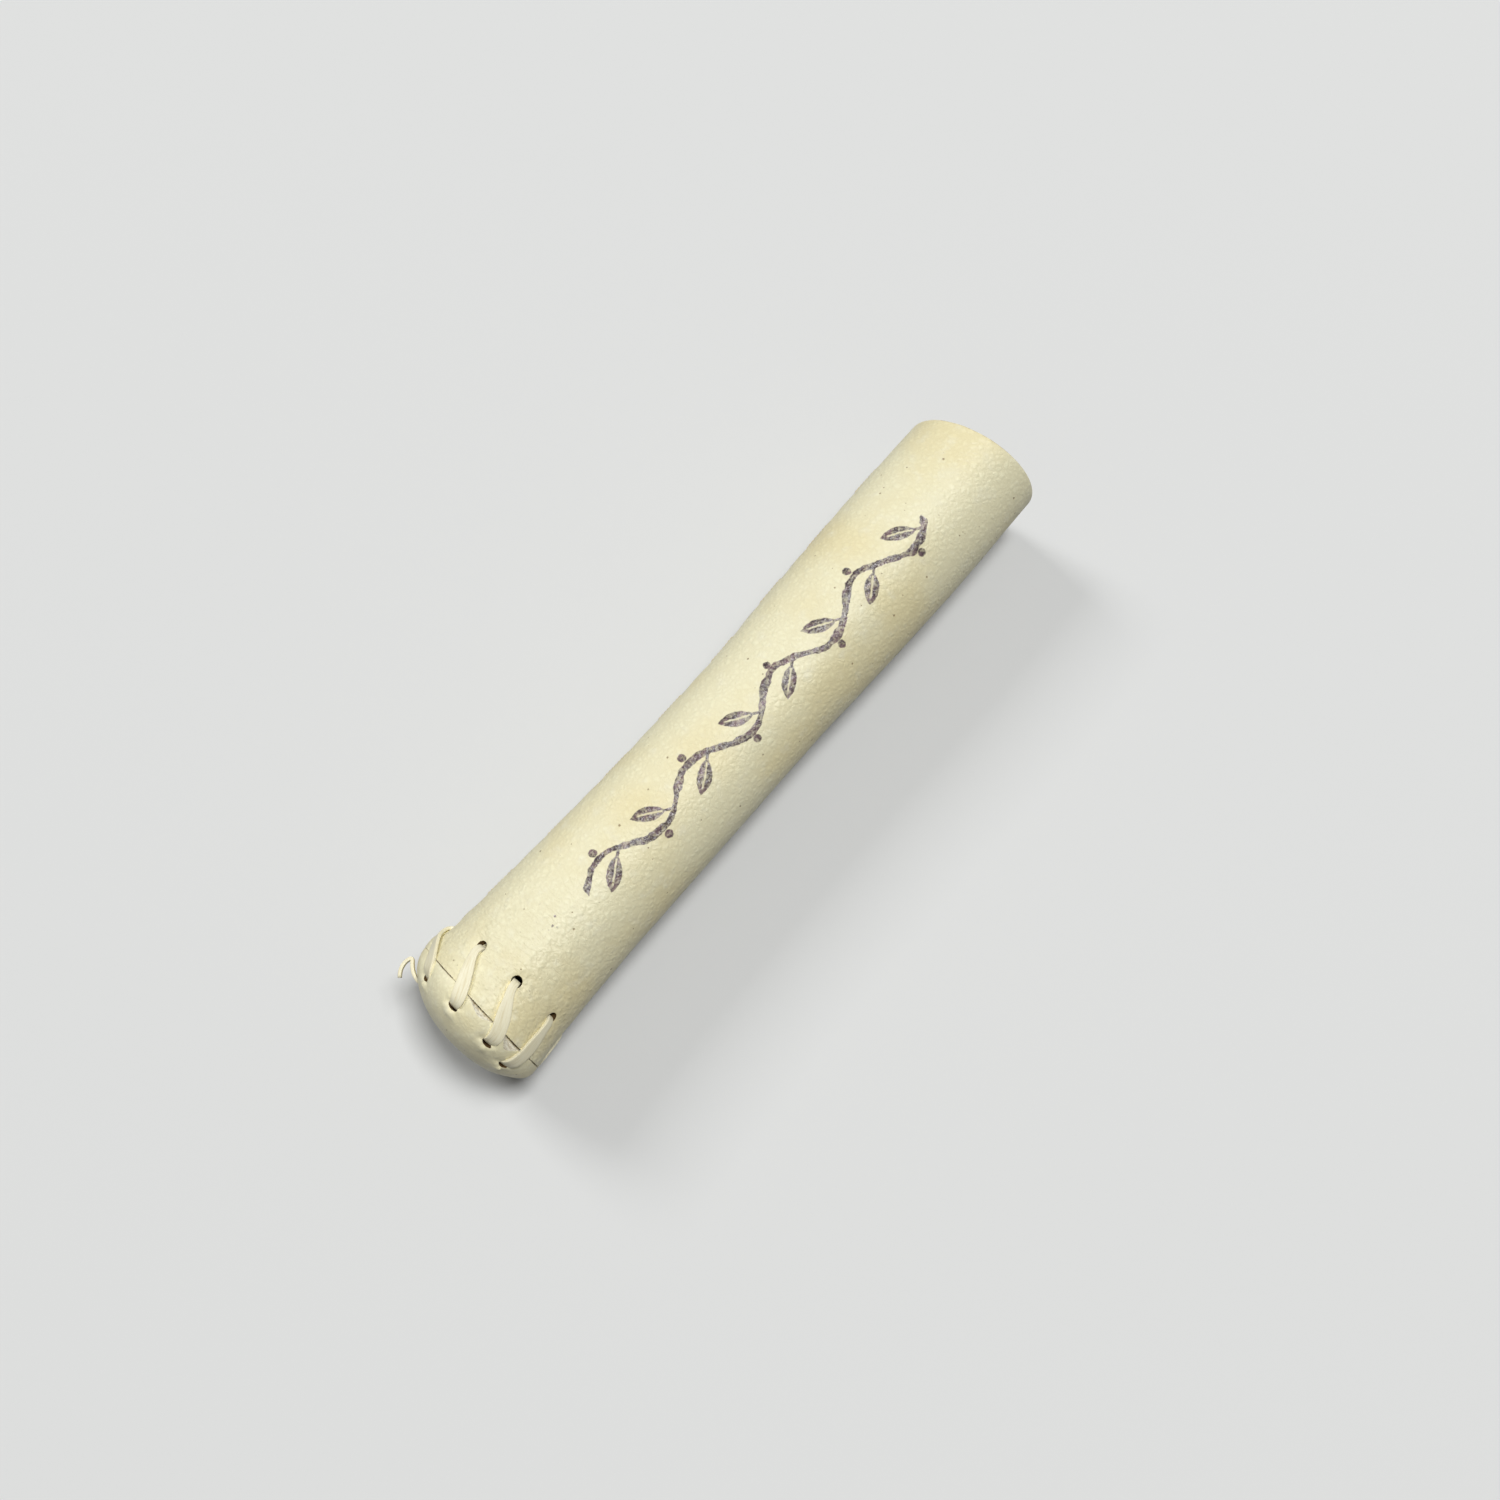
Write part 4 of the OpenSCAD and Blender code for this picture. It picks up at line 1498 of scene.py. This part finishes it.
class COVER_OT_sew_seam(bpy.types.Operator):
    """Sew the overlap with a running stitch"""

    bl_idname = "cover.sew_seam"
    bl_label = "Sew the side seam"

    # Mesh step, slant of the thread in a hole, length of its ends, and pitch and plies of its twist
    step = 0.13
    slip = 0.3
    stub = 1.4
    twist_pitch = 1.3
    plies = 3
    ply_depth = 0.16

    def execute(self, context):
        form = Form(context.scene)
        points = smoothed(self.spaced(self.route(form)), 2)
        half = form.seam.thread / 2
        frames = []
        for point, way, far in zip(points, headings(points), distances(points)):
            side, lift = strand_sides(way, form.stitch_phi)
            a = TURN * far / self.twist_pitch
            turned_side = side * math.cos(a) + lift * math.sin(a)
            turned_lift = lift * math.cos(a) - side * math.sin(a)
            frames.append((point, turned_side * half, turned_lift * half, far))
        bm = sweep(self.section(), frames)
        finish = thread_finish(context.scene.cover_finish)
        add_piece("seam_stitches", bm, [finish], "seam_thread")
        return {"FINISHED"}

    def section(self):
        """Plies laid together."""
        steps = 15
        found = []
        for i in range(steps):
            a = TURN * i / steps
            r = 1 - self.ply_depth * (1 - math.cos(self.plies * a))
            found.append((r * math.cos(a), r * math.sin(a)))
        return found

    def route(self, form):
        """Corners of the thread's way, over the overlap and back inside the bore by turns."""
        m = form.seam

        def at(z, part):
            phi = form.stitch_phi
            outside = form.walls(z, form.stitch_turn)[1] - m.thread_sink
            outside += form.give(z, z - form.joint_z(phi), phi)
            inside = form.bore(z) + m.thread_bed
            return form.place(z, phi, inside + (outside - inside) * part)

        found = [at(form.stitch_z(0) - self.stub, 0)]
        for k in range(form.stitch_count):
            z = form.stitch_z(k)
            start = 0 if k % 2 == 0 else 1
            lift = 1 - 2 * start
            last = k == form.stitch_count - 1
            rest = self.stub if last else m.stitch_pitch / 2
            for shift, part in ((-1, 0), (-0.4, 0.15), (0, 0.5), (0.4, 0.85), (1, 1)):
                found.append(at(z + shift * self.slip, start + lift * part))
            found.append(at(z + rest, start + lift))
        return found

    def spaced(self, corners):
        """Points at even steps along the corners."""
        found = []
        for a, b in zip(corners, corners[1:]):
            count = max(1, round((b - a).length / self.step))
            found += [a.lerp(b, i / count) for i in range(count)]
        return found + [corners[-1]]


class COVER_OT_set_stage(bpy.types.Operator):
    """Set the floor, the light and the camera"""

    bl_idname = "cover.set_stage"
    bl_label = "Set the stage"

    # Half the floor's width in metres, and where it passes into the backdrop in millimetres
    floor_half = 8.0
    floor_fade = (180.0, 480.0)

    def execute(self, context):
        studio = context.scene.cover_studio
        self.floor(context.scene, studio)
        self.light(context.scene, studio)
        self.camera(context.scene, studio)
        context.scene.view_settings.view_transform = "Standard"
        return {"FINISHED"}

    def floor(self, scene, studio):
        """A plain pale floor under the lowest point."""
        f = Finish("studio_floor")
        seen = f.direct_view()
        shade = f.mix(seen, studio.floor_bounce, studio.floor)
        f.set(Base_Color=shade, Roughness=0.9, Specular_IOR_Level=0.1)
        far = f.add("VectorMath", {0: f.object_place()}, operation="LENGTH").outputs["Value"]
        distant = f.product(f.span(far, *self.floor_fade), seen)
        backdrop = f.add("Emission", {"Color": studio.backdrop}).outputs["Emission"]
        both = f.add("MixShader", {0: distant, 1: f.shader.outputs["BSDF"], 2: backdrop})
        f.feed(f.tree.nodes["Material Output"].inputs["Surface"], both.outputs["Shader"])
        bm = bmesh.new()
        bmesh.ops.create_grid(bm, x_segments=2, y_segments=2, size=self.floor_half)
        bmesh.ops.translate(bm, verts=bm.verts, vec=(0, 0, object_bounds()[0].z))
        mesh = bpy.data.meshes.new("floor")
        bm.to_mesh(mesh)
        bm.free()
        mesh.materials.append(f.material)
        floor = bpy.data.objects.new("floor", mesh)
        scene.collection.objects.link(floor)
        floor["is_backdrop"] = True

    def light(self, scene, studio):
        """Soft light from all round, one large lamp overhead and one on the far side."""
        world = bpy.data.worlds.new("studio")
        world.use_nodes = True
        n = Nodes(world.node_tree)
        sky = n.tree.nodes["Background"]
        sky.inputs["Color"].default_value = (1.0, 1.0, 1.0, 1.0)
        sky.inputs["Strength"].default_value = studio.sky
        seen = n.add("Background", {"Color": studio.backdrop})
        both = n.add("MixShader", {0: n.direct_view(), 1: sky.outputs[0], 2: seen.outputs[0]})
        n.feed(n.tree.nodes["World Output"].inputs["Surface"], both.outputs["Shader"])
        scene.world = world
        self.lamp(scene, studio, "key", studio.key_watts, studio.key_turn, studio.key_height)
        self.lamp(scene, studio, "side", studio.side_watts, studio.side_turn, studio.side_height)

    def lamp(self, scene, studio, name, watts, turn, height):
        """A large soft lamp that looks at the middle of the stage."""
        light = bpy.data.lights.new(name, "AREA")
        light.energy = watts
        light.size = studio.lamp_size
        lamp = bpy.data.objects.new(name, light)
        lamp.location = self.direction(turn, height) * studio.lamp_distance
        lamp.rotation_euler = lamp.location.to_track_quat("Z", "Y").to_euler()
        scene.collection.objects.link(lamp)

    def camera(self, scene, studio):
        """The camera, looking down on the cover from its laced end."""
        lens = bpy.data.cameras.new("view")
        lens.sensor_width = 36.0
        lens.lens = studio.camera_lens
        lens.clip_start = 0.005
        lens.clip_end = 20.0
        camera = bpy.data.objects.new("view", lens)
        back = self.direction(studio.camera_turn, studio.camera_height)
        turn = back.to_track_quat("Z", "Y").to_matrix()
        roll = Matrix.Rotation(studio.camera_roll, 3, "Z")
        camera.rotation_euler = (turn @ roll).to_euler()
        camera.location = Vector(studio.camera_aim) + back * studio.camera_distance
        scene.collection.objects.link(camera)
        scene.camera = camera

    def direction(self, turn, height):
        """A direction given by its turn from +X and its height above the floor."""
        flat = math.cos(height)
        return Vector((flat * math.cos(turn), flat * math.sin(turn), math.sin(height)))


OPERATORS = (
    COVER_OT_roll_sleeve,
    COVER_OT_mould_cap,
    COVER_OT_lace_joint,
    COVER_OT_sew_seam,
    COVER_OT_set_stage,
)


class VIEW3D_PT_cover(bpy.types.Panel):
    """Sizes, finishes and steps of the cover"""

    bl_label = "Cue tip cover"
    bl_idname = "VIEW3D_PT_cover"
    bl_space_type = "VIEW_3D"
    bl_region_type = "UI"
    bl_category = "Cover"

    def draw(self, context):
        for operator in OPERATORS:
            self.layout.operator(operator.bl_idname)
        for name in GROUPS:
            group = getattr(context.scene, name)
            box = self.layout.box()
            for key in group.__class__.__annotations__:
                box.prop(group, key)


CLASSES = (*GROUPS.values(), *OPERATORS, VIEW3D_PT_cover)


def register():
    for cls in CLASSES:
        bpy.utils.register_class(cls)
    for name, group in GROUPS.items():
        setattr(bpy.types.Scene, name, bpy.props.PointerProperty(type=group))


def unregister():
    for name in GROUPS:
        delattr(bpy.types.Scene, name)
    for cls in reversed(CLASSES):
        bpy.utils.unregister_class(cls)


def main():
    register()
    bpy.ops.cover.roll_sleeve()
    bpy.ops.cover.mould_cap()
    bpy.ops.cover.lace_joint()
    bpy.ops.cover.sew_seam()
    bpy.ops.cover.set_stage()


if __name__ == "__main__":
    main()
